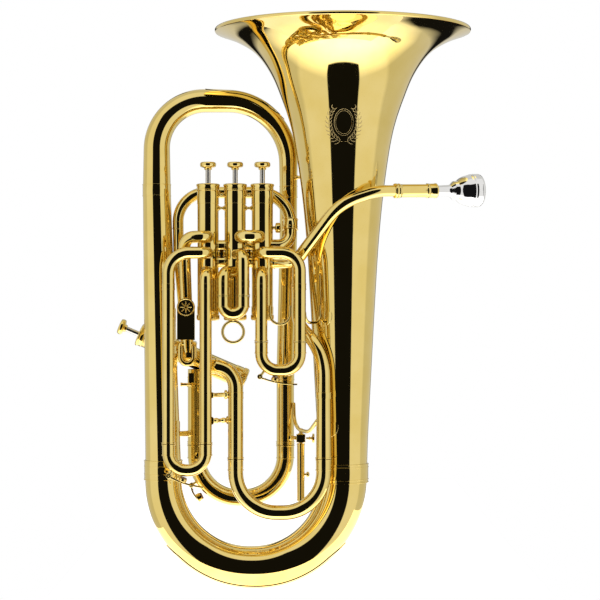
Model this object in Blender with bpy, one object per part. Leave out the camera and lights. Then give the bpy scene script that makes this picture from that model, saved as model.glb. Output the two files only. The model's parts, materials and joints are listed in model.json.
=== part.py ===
"""A four-valve compensating euphonium: three top valves, one side valve, and five pull-out slides.

Frame: metres, +Z up along the bell, +X towards the mouthpiece, -Y towards the valve slides.
The origin is the lowest point of the bottom bow, where the instrument rests on a lap or a cradle.
Driving sizes below are in millimetres and become metres where each mesh is made.
"""

import math

import bmesh
import bpy
from mathutils import Vector

MM = 0.001
GAP = 0.35            # clearance between pieces that touch
ARC_STEP = 30.0       # degrees of bend between the rings of a bent tube
TUBE_SIDES = 8
MAIN_SIDES = 10
BRANCH_SIDES = 14
BELL_SIDES = 24
VALVE_SIDES = 14

# Bell and main branches -----------------------------------------------------------------------
BELL_X = 100.0
BELL_WALL = 0.9
BELL_BASE_Z = 136.9
BELL_PROFILE = (      # (outer radius, height) from the throat to the rim
    (28.8, 136.9), (30.0, 180.0), (33.6, 250.0), (38.4, 340.0), (43.2, 415.0), (50.2, 482.0),
    (59.7, 539.0), (73.5, 581.5), (86.3, 610.0), (104.0, 633.0), (127.0, 647.5), (148.5, 656.5),
)
RIM_RADIUS = 152.5
RIM_TOP_Z = 661.0
RIM_WIRE = 2.6

LEFT_X_TOP, LEFT_X_LOW = -119.4, -111.9
BRANCH_JOINT_Z = 139.6           # left branch meets bottom bow
BOW_JOINT_Z = 136.5              # bottom bow meets bell
BOTTOM_BOW_Z = 24.8
BOTTOM_BOW_BEND = 104.0
TOP_BOW_Z = 577.2
TOP_BOW_BENDS = 58.0, 72.0
TOP_BOW_END_Z = 470.0
RIGHT_X, RIGHT_Y = 35.0, 30.0    # the leg that goes down behind the valves
BRANCH_WALL = 0.9

# Main tuning slide ----------------------------------------------------------------------------
MAIN_Y = 35.0
MAIN_LEFT_X, MAIN_RIGHT_X = -74.5, 32.0
MAIN_JOINT_Z = 166.8
MAIN_BOW_Z = 103.5
MAIN_LEG_UP = 60.0

# Valves ---------------------------------------------------------------------------------------
VALVE_X = {1: 5.5, 2: -26.3, 3: -58.0}
VALVE_Y = -22.0
VALVE_BASE_Z = 319.3
CASING_R, CASING_BORE = 11.7, 10.6
PISTON_R = 10.0
STEM_R = 3.07
CASING_LONG, CASING_SHORT = 153.2, 133.0
PISTON_FOOT = 32.7               # piston's foot above the casing's foot
PISTON_HEAD_DROP = 10.5          # piston's head below the casing's mouth
SIDE_VALVE_FOOT = (-17.8, 35.0, 245.5)
SIDE_VALVE_AXIS = Vector((-0.919, 0.0, 0.3943)).normalized()

# Valve slides: all four stand in front of the valves ------------------------------------------
SLIDE_Y = -54.0
SLEEVE_R, SLEEVE_BORE = 6.5, 5.75
INNER_R, INNER_BORE = 5.2, 4.5
CROOK_R = 6.3
PORT_LOW_Z, PORT_HIGH_Z, PORT_TOP_Z = 373.0, 395.0, 414.0
SECOND_PORT_Z = 393.5
FOURTH_Y = -40.0
FOURTH_LEFT_X, FOURTH_RIGHT_X = -25.2, 77.0
FOURTH_JOINT_Z, FOURTH_BOW_Z = 155.7, 93.4
FOURTH_SLEEVE_R, FOURTH_SLEEVE_BORE = 8.8, 8.0
FOURTH_CROOK_R = 8.6
FOURTH_INNER_R, FOURTH_INNER_BORE = 7.2, 6.4

# Leadpipe and mouthpiece ----------------------------------------------------------------------
RECEIVER_FOOT = Vector((159.7, -45.0, 467.1))
RECEIVER_AXIS = Vector((0.9405, 0.339, 0.0226)).normalized()
RECEIVER_LENGTH = 53.0
MOUTHPIECE_SEATED = 28.0
MOUTHPIECE_LENGTH = 83.0


# Materials ------------------------------------------------------------------------------------
def material(name, colour, roughness, metallic=1.0):
    """A Principled BSDF of one colour."""
    made = bpy.data.materials.new(name)
    made.use_nodes = True
    shader = made.node_tree.nodes["Principled BSDF"]
    shader.inputs["Base Color"].default_value = (*colour, 1.0)
    shader.inputs["Roughness"].default_value = roughness
    shader.inputs["Metallic"].default_value = metallic
    return made


def clear_scene():
    for old in list(bpy.data.objects):
        bpy.data.objects.remove(old)


clear_scene()
BRASS = material("lacquered_brass", (0.86, 0.62, 0.22), 0.12)
SILVER = material("silver_plate", (0.86, 0.86, 0.88), 0.10)
NICKEL = material("nickel_silver", (0.62, 0.60, 0.56), 0.22)
STEEL = material("spring_steel", (0.45, 0.45, 0.47), 0.35)


# Mesh helpers ---------------------------------------------------------------------------------
def finished(name, bm, surface):
    """Turns a bmesh in millimetres into a named object in metres."""
    bmesh.ops.scale(bm, vec=(MM, MM, MM), verts=bm.verts)
    bmesh.ops.recalc_face_normals(bm, faces=bm.faces)
    mesh = bpy.data.meshes.new(name)
    bm.to_mesh(mesh)
    bm.free()
    mesh.materials.append(surface)
    mesh.shade_smooth()
    mesh.set_sharp_from_angle(angle=math.radians(35))
    made = bpy.data.objects.new(name, mesh)
    bpy.context.scene.collection.objects.link(made)
    return made


def as_helper(helper):
    """Keeps a cutter, or a shape that is joined into another, out of the model."""
    helper.hide_render = True
    helper.display_type = "WIRE"
    return helper


def boolean(target, other, operation):
    modifier = target.modifiers.new(operation.lower(), "BOOLEAN")
    modifier.operation = operation
    modifier.solver = "EXACT"
    modifier.object = as_helper(other)
    return target


def cut(target, cutter):
    return boolean(target, cutter, "DIFFERENCE")


def join(target, other):
    return boolean(target, other, "UNION")


def bridged(bm, loops, closed):
    """Quads between successive vertex loops; a loop of one vertex makes a fan."""
    pairs = list(zip(loops, loops[1:]))
    if closed:
        pairs.append((loops[-1], loops[0]))
    for low, high in pairs:
        count = max(len(low), len(high))
        for i in range(count):
            j = (i + 1) % count
            corners = [low[i % len(low)], low[j % len(low)], high[j % len(high)], high[i % len(high)]]
            bm.faces.new(list(dict.fromkeys(corners)))


def basis_along(axis):
    """Two unit vectors square to an axis and to each other."""
    axis = Vector(axis).normalized()
    reference = Vector((0, 1, 0)) if abs(axis.y) < 0.9 else Vector((1, 0, 0))
    first = axis.cross(reference).normalized()
    return first, axis.cross(first)


def turned(name, profile, foot, axis, sides, surface, closed=False):
    """Turns (radius, height) points about an axis from its foot. A closed profile makes a ring."""
    first, second = basis_along(axis)
    axis = Vector(axis).normalized()
    bm = bmesh.new()
    loops = []
    for radius, height in profile:
        centre = Vector(foot) + axis * height
        if radius == 0:
            loops.append([bm.verts.new(centre)])
            continue
        angles = [2 * math.pi * (i + 0.5) / sides for i in range(sides)]
        loops.append(
            [bm.verts.new(centre + (first * math.cos(a) + second * math.sin(a)) * radius) for a in angles]
        )
    bridged(bm, loops, closed)
    if not closed:
        for end in (loops[0], loops[-1]):
            if len(end) > 1:
                bm.faces.new(end)
    return finished(name, bm, surface)


def cylinder(name, start, end, radius, sides=TUBE_SIDES, surface=BRASS):
    axis = Vector(end) - Vector(start)
    return turned(name, [(radius, 0.0), (radius, axis.length)], start, axis, sides, surface)


def drill(target, start, end, radius, sides=6):
    return cut(target, cylinder(target.name + "_drill", start, end, radius, sides))


def brace(target, start, end, radius=1.7, sides=6):
    """Joins a straight rod to a part, as a soldered stay."""
    return join(target, cylinder(target.name + "_stay", start, end, radius, sides))


def route(corners, step=ARC_STEP):
    """Points along straight runs whose corners are rounded. A corner is (x, y, z, bend radius)."""
    points = [Vector(corners[0][:3])]
    for before, corner, after in zip(corners, corners[1:], corners[2:]):
        at, radius = Vector(corner[:3]), corner[3]
        into = (at - Vector(before[:3])).normalized()
        out = (Vector(after[:3]) - at).normalized()
        turn = into.angle(out)
        if turn < 0.01:
            continue
        start = at - into * radius * math.tan(turn / 2)
        inwards = (out - into * into.dot(out)).normalized()
        centre = start + inwards * radius
        count = max(2, round(math.degrees(turn) / step))
        for i in range(count + 1):
            angle = turn * i / count
            points.append(centre - inwards * radius * math.cos(angle) + into * radius * math.sin(angle))
    points.append(Vector(corners[-1][:3]))
    kept = [points[0]]
    for point in points[1:]:
        if (point - kept[-1]).length > 0.3:
            kept.append(point)
    return kept


def lengths_along(points):
    total = [0.0]
    for a, b in zip(points, points[1:]):
        total.append(total[-1] + (b - a).length)
    return total


def frames_along(points):
    """(first, second) vectors square to the path at each point, turning as little as possible."""
    runs = [(b - a).normalized() if (b - a).length > 1e-6 else None for a, b in zip(points, points[1:])]
    for i, run in enumerate(runs):
        if run is None:
            runs[i] = runs[i - 1]
    tangents = [runs[0], *[(a + b).normalized() for a, b in zip(runs, runs[1:])], runs[-1]]
    first, _ = basis_along(tangents[0])
    frames = []
    previous = tangents[0]
    for tangent in tangents:
        first = (previous.rotation_difference(tangent) @ first).normalized()
        frames.append((first, tangent.cross(first)))
        previous = tangent
    return frames


def tube(name, points, outer, inner, sides=TUBE_SIDES, surface=BRASS):
    """A hollow tube along points, with an outer and an inner radius at each point."""
    bm = bmesh.new()
    loops = []
    frames = frames_along(points)
    stations = list(zip(points, frames, outer)) + list(zip(points, frames, inner))[::-1]
    angles = [2 * math.pi * (i + 0.5) / sides for i in range(sides)]
    for centre, (first, second), radius in stations:
        loops.append(
            [bm.verts.new(centre + (first * math.cos(a) + second * math.sin(a)) * radius) for a in angles]
        )
    bridged(bm, loops, closed=True)
    return finished(name, bm, surface)


def rod(name, points, radius, sides, surface=BRASS):
    """A solid wire along points."""
    bm = bmesh.new()
    angles = [2 * math.pi * (i + 0.5) / sides for i in range(sides)]
    loops = [
        [bm.verts.new(centre + (first * math.cos(a) + second * math.sin(a)) * radius) for a in angles]
        for centre, (first, second) in zip(points, frames_along(points))
    ]
    bridged(bm, loops, closed=False)
    bm.faces.new(loops[0])
    bm.faces.new(loops[-1])
    return finished(name, bm, surface)


def tapered_tube(name, points, start_r, end_r, wall, sides=TUBE_SIDES, surface=BRASS):
    """A tube whose radius grows evenly from start to end."""
    along = lengths_along(points)
    outer = [start_r + (end_r - start_r) * s / along[-1] for s in along]
    return tube(name, points, outer, [r - wall for r in outer], sides, surface)


def plain_tube(name, points, outer=SLEEVE_R, inner=SLEEVE_BORE, sides=TUBE_SIDES):
    return tube(name, points, [outer] * len(points), [inner] * len(points), sides)


def extruded(name, outline, thickness, foot, across, up, surface):
    """A flat plate: outline points (across, up) from its foot, centred on its thickness."""
    across, up = Vector(across).normalized(), Vector(up).normalized()
    normal = across.cross(up)
    bm = bmesh.new()
    loops = [
        [bm.verts.new(Vector(foot) + across * u + up * v + normal * side * thickness / 2) for u, v in outline]
        for side in (-1, 1)
    ]
    bridged(bm, loops, closed=False)
    bm.faces.new(loops[0])
    bm.faces.new(loops[1])
    return finished(name, bm, surface)


def circle_points(radius, count, centre=(0.0, 0.0), start=0.0, sweep=360.0):
    """Points round a circle or an arc, in degrees."""
    whole = count if sweep >= 360 else count - 1
    angles = [math.radians(start + sweep * i / whole) for i in range(count)]
    return [(centre[0] + radius * math.cos(a), centre[1] + radius * math.sin(a)) for a in angles]


# Bell, bows and branches ----------------------------------------------------------------------
def offset_inwards(profile, wall):
    """The same (radius, height) line, moved square to itself towards the axis."""
    moved = []
    for i, (radius, height) in enumerate(profile):
        before, after = profile[max(i - 1, 0)], profile[min(i + 1, len(profile) - 1)]
        run = Vector((after[0] - before[0], after[1] - before[1])).normalized()
        moved.append((radius - run.y * wall, height + run.x * wall))
    return moved


def make_bell():
    rim = [
        (RIM_RADIUS - RIM_WIRE, RIM_TOP_Z - 2 * RIM_WIRE), (RIM_RADIUS, RIM_TOP_Z - 1.4 * RIM_WIRE),
        (RIM_RADIUS, RIM_TOP_Z - 0.4 * RIM_WIRE), (RIM_RADIUS - 0.4 * RIM_WIRE, RIM_TOP_Z),
        (RIM_RADIUS - 1.6 * RIM_WIRE, RIM_TOP_Z),
    ]
    inside = offset_inwards(BELL_PROFILE, BELL_WALL)
    inside[0] = (BELL_PROFILE[0][0] - BELL_WALL, BELL_BASE_Z)
    profile = list(BELL_PROFILE) + rim + inside[::-1]
    return turned("bell", profile, (BELL_X, 0, 0), (0, 0, 1), BELL_SIDES, BRASS, closed=True)


def make_ferrule(name, foot, axis, radius, length):
    """A reinforcing sleeve over a joint, with a raised bead at each end."""
    bead = 0.8
    profile = [(radius + bead, 0), (radius + bead, 2.5), (radius, 3.5), (radius, length - 3.5)]
    profile += [(radius + bead, length - 2.5), (radius + bead, length), (radius - 0.9, length), (radius - 0.9, 0)]
    return turned(name, profile, foot, axis, BRANCH_SIDES, BRASS, closed=True)


def make_branches():
    left_r_top, left_r_low = 16.4, 21.0
    left = [
        Vector((LEFT_X_TOP, 0, TOP_BOW_END_Z - GAP)), Vector((LEFT_X_TOP, 0, TOP_BOW_END_Z - 15)),
        Vector((LEFT_X_LOW, 0, BRANCH_JOINT_Z + 25)), Vector((LEFT_X_LOW, 0, BRANCH_JOINT_Z + GAP)),
    ]
    tapered_tube("left_branch", left, left_r_top, left_r_low, BRANCH_WALL, BRANCH_SIDES)
    bottom = route([
        (LEFT_X_LOW, 0, BRANCH_JOINT_Z, 0), (LEFT_X_LOW, 0, BOTTOM_BOW_Z, BOTTOM_BOW_BEND),
        (BELL_X, 0, BOTTOM_BOW_Z, BOTTOM_BOW_BEND), (BELL_X, 0, BOW_JOINT_Z, 0),
    ], step=18)
    tapered_tube("bottom_bow", bottom, left_r_low, 28.7, BRANCH_WALL, BRANCH_SIDES)
    make_ferrule("bow_ferrule", (LEFT_X_LOW, 0, 128.0), (0, 0, 1), 23.3, 23.5)
    make_ferrule("bell_ferrule", (BELL_X, 0, 125.3), (0, 0, 1), 31.6, 22.5)
    top = route([
        (LEFT_X_TOP, 0, TOP_BOW_END_Z, 0), (LEFT_X_TOP, 0, TOP_BOW_Z, TOP_BOW_BENDS[0]),
        (RIGHT_X, RIGHT_Y, TOP_BOW_Z, TOP_BOW_BENDS[1]), (RIGHT_X, RIGHT_Y, TOP_BOW_END_Z, 0),
    ], step=25)
    tapered_tube("top_bow", top, 16.4, 10.4, BRANCH_WALL, BRANCH_SIDES)
    make_descending_branch()


def make_descending_branch():
    """The leg behind the valves. Its lower end is the right sleeve of the main tuning slide."""
    points = [
        Vector((RIGHT_X, RIGHT_Y, TOP_BOW_END_Z - GAP)), Vector((RIGHT_X, RIGHT_Y, 420.0)),
        Vector((MAIN_RIGHT_X, MAIN_Y, 260.0)), Vector((MAIN_RIGHT_X, MAIN_Y, MAIN_JOINT_Z + GAP)),
    ]
    branch = tube("descending_branch", points, [10.4] * 4, [9.5] * 4, MAIN_SIDES)
    clamp = cylinder("descending_branch_clamp", (38.6, 28.2, 176), (50, 16.0, 176), 3.2, 8)
    join(branch, clamp)
    block = extruded(
        "descending_branch_block", [(-5.5, -5), (5.5, -5), (5.5, 5), (-5.5, 5)], 10,
        (51.0, 15.0, 176.0), (1, 0, 0), (0, 0, 1), BRASS,
    )
    join(branch, block)
    drill(branch, (50.6, 15, 165), (50.6, 15, 190), 2.7)
    brace(branch, (RIGHT_X + 9.8, 28.0, 452.0), (57.0, 22.0, 452.0))


def make_main_slide():
    """Left sleeve below the side valve, and the pull-out bow with its two inner legs."""
    at_valve = (MAIN_LEFT_X, MAIN_Y, 264.0)
    points = [Vector((MAIN_LEFT_X, MAIN_Y, MAIN_JOINT_Z + GAP)), Vector(at_valve)]
    sleeve = plain_tube("main_slide_sleeve", points, 10.4, 9.5, MAIN_SIDES)
    cut(sleeve, valve_clearance(4, "main_slide_sleeve_clearance"))
    leg_top = MAIN_JOINT_Z + MAIN_LEG_UP
    bow = route([
        (MAIN_LEFT_X, MAIN_Y, MAIN_JOINT_Z, 0), (MAIN_LEFT_X, MAIN_Y, MAIN_BOW_Z, 50),
        (MAIN_RIGHT_X, MAIN_Y, MAIN_BOW_Z, 50), (MAIN_RIGHT_X, MAIN_Y, MAIN_JOINT_Z, 0),
    ], step=22)
    slide = slide_bow("main_tuning_slide", bow, leg_top, 10.2, 8.9, 8.1, MAIN_SIDES)
    make_water_key(
        "water_key_main", slide, (-24.5, MAIN_Y, 153.5), 58.9,
        (-80.5, MAIN_Y, 118.5), (0.45, 0, -0.89), 22.0, 17.0, 7.2,
    )


def slide_bow(name, bow, leg_top, crook_r, leg_r, bore, sides=TUBE_SIDES):
    """A U-shaped crook whose ends step down to the inner legs that run up inside the sleeves."""
    first, last = bow[0], bow[-1]
    points = [Vector((first.x, first.y, leg_top)), first, *bow, last, Vector((last.x, last.y, leg_top))]
    outer = [leg_r, leg_r, *[crook_r] * len(bow), leg_r, leg_r]
    return tube(name, points, outer, [bore] * len(points), sides)


# Valves ---------------------------------------------------------------------------------------
def valve_frame(number):
    """(foot, axis, casing length) of a valve."""
    if number == 4:
        return Vector(SIDE_VALVE_FOOT), SIDE_VALVE_AXIS, CASING_SHORT
    return Vector((VALVE_X[number], VALVE_Y, VALVE_BASE_Z)), Vector((0, 0, 1)), CASING_LONG


def valve_clearance(number, name):
    """A cutter a little larger than a casing, which saddles the tubes that meet it."""
    foot, axis, length = valve_frame(number)
    profile = [(CASING_R + GAP, -6.0), (CASING_R + GAP, length + 6.0)]
    return turned(name, profile, foot, axis, VALVE_SIDES, BRASS)


def make_casing(number, ports):
    """The valve's outer cylinder, drilled where each tube meets it."""
    foot, axis, length = valve_frame(number)
    profile = [(CASING_R, 0), (CASING_R, length), (CASING_BORE, length), (CASING_BORE, 0)]
    casing = turned(f"valve_{number}_casing", profile, foot, axis, VALVE_SIDES, BRASS, closed=True)
    for target in ports:
        target = Vector(target)
        at = foot + axis * (target - foot).dot(axis)
        drill(casing, at, at + (target - at).normalized() * (CASING_R + 5), 5.0)
    return casing


def make_piston(number):
    """A hollow piston, open at the foot, with its stem and its two rows of windways."""
    foot, axis, length = valve_frame(number)
    head = length - PISTON_HEAD_DROP
    profile = [
        (0, length + 26.5), (STEM_R, length + 26.5), (STEM_R, head + 2), (PISTON_R, head),
        (PISTON_R, PISTON_FOOT), (PISTON_R - 1, PISTON_FOOT), (PISTON_R - 1, head - 2.5), (0, head - 2.5),
    ]
    piston = turned(f"valve_{number}_piston", profile, foot, axis, 12, NICKEL)
    side, _ = basis_along(axis)
    for height in (head - 62.0, head - 44.0):
        centre = foot + axis * height
        drill(piston, centre - side * 14, centre + side * 14, 4.6)
    return piston


def make_caps(number):
    foot, axis, length = valve_frame(number)
    mouth = length + GAP
    top = [
        (STEM_R + 0.5, mouth), (STEM_R + 0.5, length + 3.7), (12.2, length + 3.7), (13.1, length + 2.6),
        (13.1, length - 1.0), (12.5, length - 4.5), (CASING_R + GAP, length - 4.5), (CASING_R + GAP, mouth),
    ]
    turned(f"valve_{number}_top_cap", top, foot, axis, VALVE_SIDES, BRASS, closed=True)
    bottom = [
        (2.0, -GAP), (CASING_R + GAP, -GAP), (CASING_R + GAP, 4.0), (12.9, 4.0),
        (12.9, -1.8), (11.6, -3.0), (2.0, -3.0),
    ]
    turned(f"valve_{number}_bottom_cap", bottom, foot, axis, VALVE_SIDES, BRASS, closed=True)


def make_button(number):
    """The finger button, screwed on the stem's end, with a flat top."""
    foot, axis, length = valve_frame(number)
    low = length + 22.0
    socket = low + 4.9
    profile = [
        (0, low + 7.5), (7.6, low + 7.5), (9.4, low + 5.6), (9.4, low + 1.8), (6.5, low),
        (STEM_R + GAP, low), (STEM_R + GAP, socket), (0, socket),
    ]
    return turned(f"valve_{number}_button", profile, foot, axis, 12, BRASS)


def make_spring(number):
    """The return spring between the bottom cap and the piston's foot."""
    foot, axis, _ = valve_frame(number)
    first, second = basis_along(axis)
    coil_r, wire_r, turns, per_turn = 7.4, 0.8, 4, 6
    low, high = 0.9, PISTON_FOOT - GAP - wire_r
    count = turns * per_turn
    points = []
    for i in range(count + 1):
        angle = 2 * math.pi * i / per_turn
        around = (first * math.cos(angle) + second * math.sin(angle)) * coil_r
        points.append(foot + axis * (low + (high - low) * i / count) + around)
    return rod(f"valve_{number}_spring", points, wire_r, 4, STEEL)


def valve_port(number, height, direction):
    """A point on the wall of a top valve, at a height and a compass direction, for drilling."""
    return Vector((VALVE_X[number], VALVE_Y, height)) + Vector(direction) * CASING_R


FRONT, BACK, LEFT, RIGHT = (0, -1, 0), (0, 1, 0), (-1, 0, 0), (1, 0, 0)
KNUCKLE_Z = (385.0, 404.0)
COMP_LOOPS = {1: (362.0, 428.0), 2: (375.0, 415.0), 3: (365.0, 440.0)}    # low and high port heights
RETURN_PORT_Z = 395.0
ARCH_Z = 467.5


def make_valves():
    ports = {
        1: [valve_port(1, z, FRONT) for z in (PORT_LOW_Z, PORT_HIGH_Z, PORT_TOP_Z)]
        + [valve_port(1, z, RIGHT) for z in KNUCKLE_Z] + [valve_port(1, z, LEFT) for z in KNUCKLE_Z],
        2: [valve_port(2, z, FRONT) for z in (PORT_LOW_Z, SECOND_PORT_Z, PORT_TOP_Z)]
        + [valve_port(2, z, RIGHT) for z in KNUCKLE_Z] + [valve_port(2, z, LEFT) for z in KNUCKLE_Z],
        3: [valve_port(3, z, FRONT) for z in (PORT_LOW_Z, PORT_HIGH_Z, PORT_TOP_Z)]
        + [valve_port(3, z, RIGHT) for z in KNUCKLE_Z] + [valve_port(3, RETURN_PORT_Z, BACK)],
        4: [(-80.0, 23.0, 272.0), (-60.0, 23.0, 264.0), (-90.0, 35.0, 300.0), (MAIN_LEFT_X, 35.0, 240.0)],
    }
    for number, (low, high) in COMP_LOOPS.items():
        ports[number] += [valve_port(number, z, BACK) for z in (low, high)]
    for number, targets in ports.items():
        casing = make_casing(number, targets)
        if number == 2:
            for x in (-1, 1):
                wall = VALVE_X[2] + x * (CASING_R - 0.5)
                far = VALVE_X[2] + x * (31.7 - CASING_R - 0.4)
                brace(casing, (wall, VALVE_Y, 448.0), (far, VALVE_Y, 448.0), 1.5)
        make_piston(number)
        make_caps(number)
        make_button(number)
        make_spring(number)


# Tubes between the valves ---------------------------------------------------------------------
def make_knuckles(left, right):
    """Two short windways between neighbouring valves, tied by a small stay."""
    name = f"knuckles_{right}_{left}"
    x_left, x_right = VALVE_X[left], VALVE_X[right]
    low, high = (
        plain_tube(
            name if z == KNUCKLE_Z[0] else name + "_upper",
            [Vector((x_left + 8, VALVE_Y, z)), Vector((x_right - 8, VALVE_Y, z))],
        )
        for z in KNUCKLE_Z
    )
    middle = (x_left + x_right) / 2
    join(low, high)
    brace(low, (middle, VALVE_Y, KNUCKLE_Z[0] + 6.0), (middle, VALVE_Y, KNUCKLE_Z[1] - 6.0), 2.0)
    for number in (left, right):
        cut(low, valve_clearance(number, f"{name}_clearance_{number}"))


def make_crossover():
    """The short bow in front that carries the second windway from valve 2 to valve 1."""
    left, right, front = -19.0, 1.8, -47.0
    points = route([
        (left, -27, PORT_TOP_Z, 0), (left, front, PORT_TOP_Z, 8.5),
        (right, front, PORT_TOP_Z, 8.5), (right, -27, PORT_TOP_Z, 0),
    ])
    bow = plain_tube("crossover_bow", points, 7.0, 6.2)
    for number in (1, 2):
        cut(bow, valve_clearance(number, f"crossover_clearance_{number}"))


def make_side_valve_tubes():
    """From valve 3 down to the side valve, and the arch from valve 1 over the top to it."""
    x3 = VALVE_X[3]
    points = route([
        (x3, -27, PORT_TOP_Z, 0), (x3, -46, PORT_TOP_Z, 9), (-85.5, -43, PORT_TOP_Z - 1, 13),
        (-84.5, -32, 378, 30), (-81, -20, 272, 16), (-80, 30, 271.5, 0),
    ])
    branch = plain_tube("valve_3_to_4_branch", points, 6.8, 6.0)
    cut(branch, valve_clearance(3, "valve_3_to_4_clearance_3"))
    cut(branch, valve_clearance(4, "valve_3_to_4_clearance_4"))
    arch = route([
        (9, VALVE_Y, KNUCKLE_Z[1], 0), (38.2, -16, KNUCKLE_Z[1], 17), (38.2, 1, ARCH_Z, 38),
        (-95, 1, ARCH_Z, 34), (-94, 1, 396, 30), (-89, 24, 318, 30), (-88, 34, 290, 0),
    ])
    comp = tapered_tube("compensating_arch", arch, 7.4, 5.6, 0.8)
    cut(comp, valve_clearance(1, "arch_clearance_1"))
    cut(comp, valve_clearance(4, "arch_clearance_4"))


def make_comp_loops():
    """The small compensating bows behind valves 1 to 3."""
    for number, (low, high) in COMP_LOOPS.items():
        x, depth = VALVE_X[number], 20.0
        points = route([
            (x, -15, low, 0), (x, depth, low, 11), (x, depth, high, 11), (x, -15, high, 0),
        ])
        loop = plain_tube(f"compensating_loop_{number}", points, 5.2, 4.5, 8)
        cut(loop, valve_clearance(number, f"compensating_loop_clearance_{number}"))


# Valve slides ---------------------------------------------------------------------------------
def make_slide(number, legs, joint_z, bow_z, bend, leg_up, stay_z):
    """Two soldered sleeves with a stay between them, and the pull-out bow."""
    left_x, right_x = legs[0][-1][0], legs[1][-1][0]
    name = f"slide_{number}_sleeves"
    sleeves = [
        plain_tube(name if i == 0 else name + "_second", route([*leg, (leg[-1][0], SLIDE_Y, joint_z + GAP, 0)]))
        for i, leg in enumerate(legs)
    ]
    low = min(left_x, right_x) + SLEEVE_R * 0.92
    high = max(left_x, right_x) - SLEEVE_R * 0.92
    join(sleeves[0], sleeves[1])
    brace(sleeves[0], (low - 0.1, SLIDE_Y, stay_z), (high + 0.1, SLIDE_Y, stay_z))
    cut(sleeves[0], valve_clearance(number, f"slide_{number}_clearance"))
    bow = route([
        (left_x, SLIDE_Y, joint_z, 0), (left_x, SLIDE_Y, bow_z, bend),
        (right_x, SLIDE_Y, bow_z, bend), (right_x, SLIDE_Y, joint_z, 0),
    ])
    return slide_bow(f"slide_{number}_bow", bow, joint_z + leg_up, CROOK_R, INNER_R, INNER_BORE)


def make_slides():
    x1, x2, x3, port_y = VALVE_X[1], VALVE_X[2], VALVE_X[3], -27.0
    first_bow = make_slide(
        1,
        [
            [(x1, port_y, PORT_LOW_Z, 0), (4.9, SLIDE_Y, PORT_LOW_Z, 12)],
            [(x1, port_y, PORT_HIGH_Z, 0), (x1, SLIDE_Y, PORT_HIGH_Z, 9), (49.3, SLIDE_Y, PORT_HIGH_Z, 21)],
        ],
        joint_z=292.0, bow_z=260.2, bend=19.0, leg_up=46.0, stay_z=330.0,
    )
    make_slide(
        2,
        [
            [(x2 - 2.2, port_y, PORT_LOW_Z, 0), (-39.2, SLIDE_Y, PORT_LOW_Z, 9)],
            [(x2 + 1.8, port_y, SECOND_PORT_Z, 0), (-16.0, SLIDE_Y, SECOND_PORT_Z, 9)],
        ],
        joint_z=345.0, bow_z=324.4, bend=11.0, leg_up=18.0, stay_z=352.0,
    )
    third_bow = make_slide(
        3,
        [
            [(x3, port_y, PORT_HIGH_Z, 0), (x3, SLIDE_Y, PORT_HIGH_Z, 9), (-102.2, SLIDE_Y, PORT_HIGH_Z, 24)],
            [(x3, port_y, PORT_LOW_Z, 0), (-59.3, SLIDE_Y, PORT_LOW_Z, 12)],
        ],
        joint_z=174.1, bow_z=143.6, bend=20.0, leg_up=80.0, stay_z=262.0,
    )
    make_water_key(
        "water_key_1", first_bow, (23.9, SLIDE_Y, 279.2), 25.3,
        (3.4, SLIDE_Y, 252.0), (1, 0, -0.22), 44.0, 18.0, 4.4,
    )
    make_water_key(
        "water_key_3", third_bow, (-82.2, SLIDE_Y, 163.6), 26.3,
        (-102.0, SLIDE_Y, 137.6), (1, 0, -0.35), 42.0, 17.0, 4.6,
    )
    make_fourth_slide()


def make_fourth_slide():
    """The long slide of the side valve; its return runs behind the valves to valve 3."""
    elbow_z, return_r, return_bore = 263.5, 6.6, 5.8
    left = route([
        (-60, 30, elbow_z, 0), (-60, FOURTH_Y + 2, elbow_z, 14), (FOURTH_LEFT_X, FOURTH_Y, elbow_z, 24),
        (FOURTH_LEFT_X, FOURTH_Y, FOURTH_JOINT_Z + GAP, 0),
    ])
    sleeve = plain_tube("slide_4_sleeve", left, FOURTH_SLEEVE_R, FOURTH_SLEEVE_BORE)
    cut(sleeve, valve_clearance(4, "slide_4_clearance"))
    back = route([
        (FOURTH_RIGHT_X, FOURTH_Y, FOURTH_JOINT_Z + GAP, 0), (FOURTH_RIGHT_X, FOURTH_Y, 279, 60),
        (47, -16, 313, 30), (47, 3, RETURN_PORT_Z, 18), (VALVE_X[3], 3, RETURN_PORT_Z, 9),
        (VALVE_X[3], -15, RETURN_PORT_Z, 0),
    ])
    outer = [FOURTH_SLEEVE_R if p.z < 256 else return_r for p in back]
    inner = [FOURTH_SLEEVE_BORE if p.z < 256 else return_bore for p in back]
    branch = tube("slide_4_return", back, outer, inner)
    cut(branch, valve_clearance(3, "slide_4_return_clearance"))
    bow = route([
        (FOURTH_LEFT_X, FOURTH_Y, FOURTH_JOINT_Z, 0), (FOURTH_LEFT_X, FOURTH_Y, FOURTH_BOW_Z, 47),
        (FOURTH_RIGHT_X, FOURTH_Y, FOURTH_BOW_Z, 47), (FOURTH_RIGHT_X, FOURTH_Y, FOURTH_JOINT_Z, 0),
    ], step=22)
    slide_bow("slide_4_bow", bow, FOURTH_JOINT_Z + 70, FOURTH_CROOK_R, FOURTH_INNER_R, FOURTH_INNER_BORE)


# Leadpipe, receiver and mouthpiece ------------------------------------------------------------
def make_leadpipe():
    near = RECEIVER_FOOT - RECEIVER_AXIS * GAP
    before = RECEIVER_FOOT - RECEIVER_AXIS * 22.0
    corners = [
        (9, VALVE_Y, KNUCKLE_Z[0], 0), (44, -30, 384, 24), (94.7, -58.5, 451.8, 60),
        (*before, 60), (*near, 0),
    ]
    points = route(corners, step=16)
    pipe = tapered_tube("leadpipe", points, 7.3, 6.6, 0.9)
    cut(pipe, valve_clearance(1, "leadpipe_clearance"))


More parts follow.
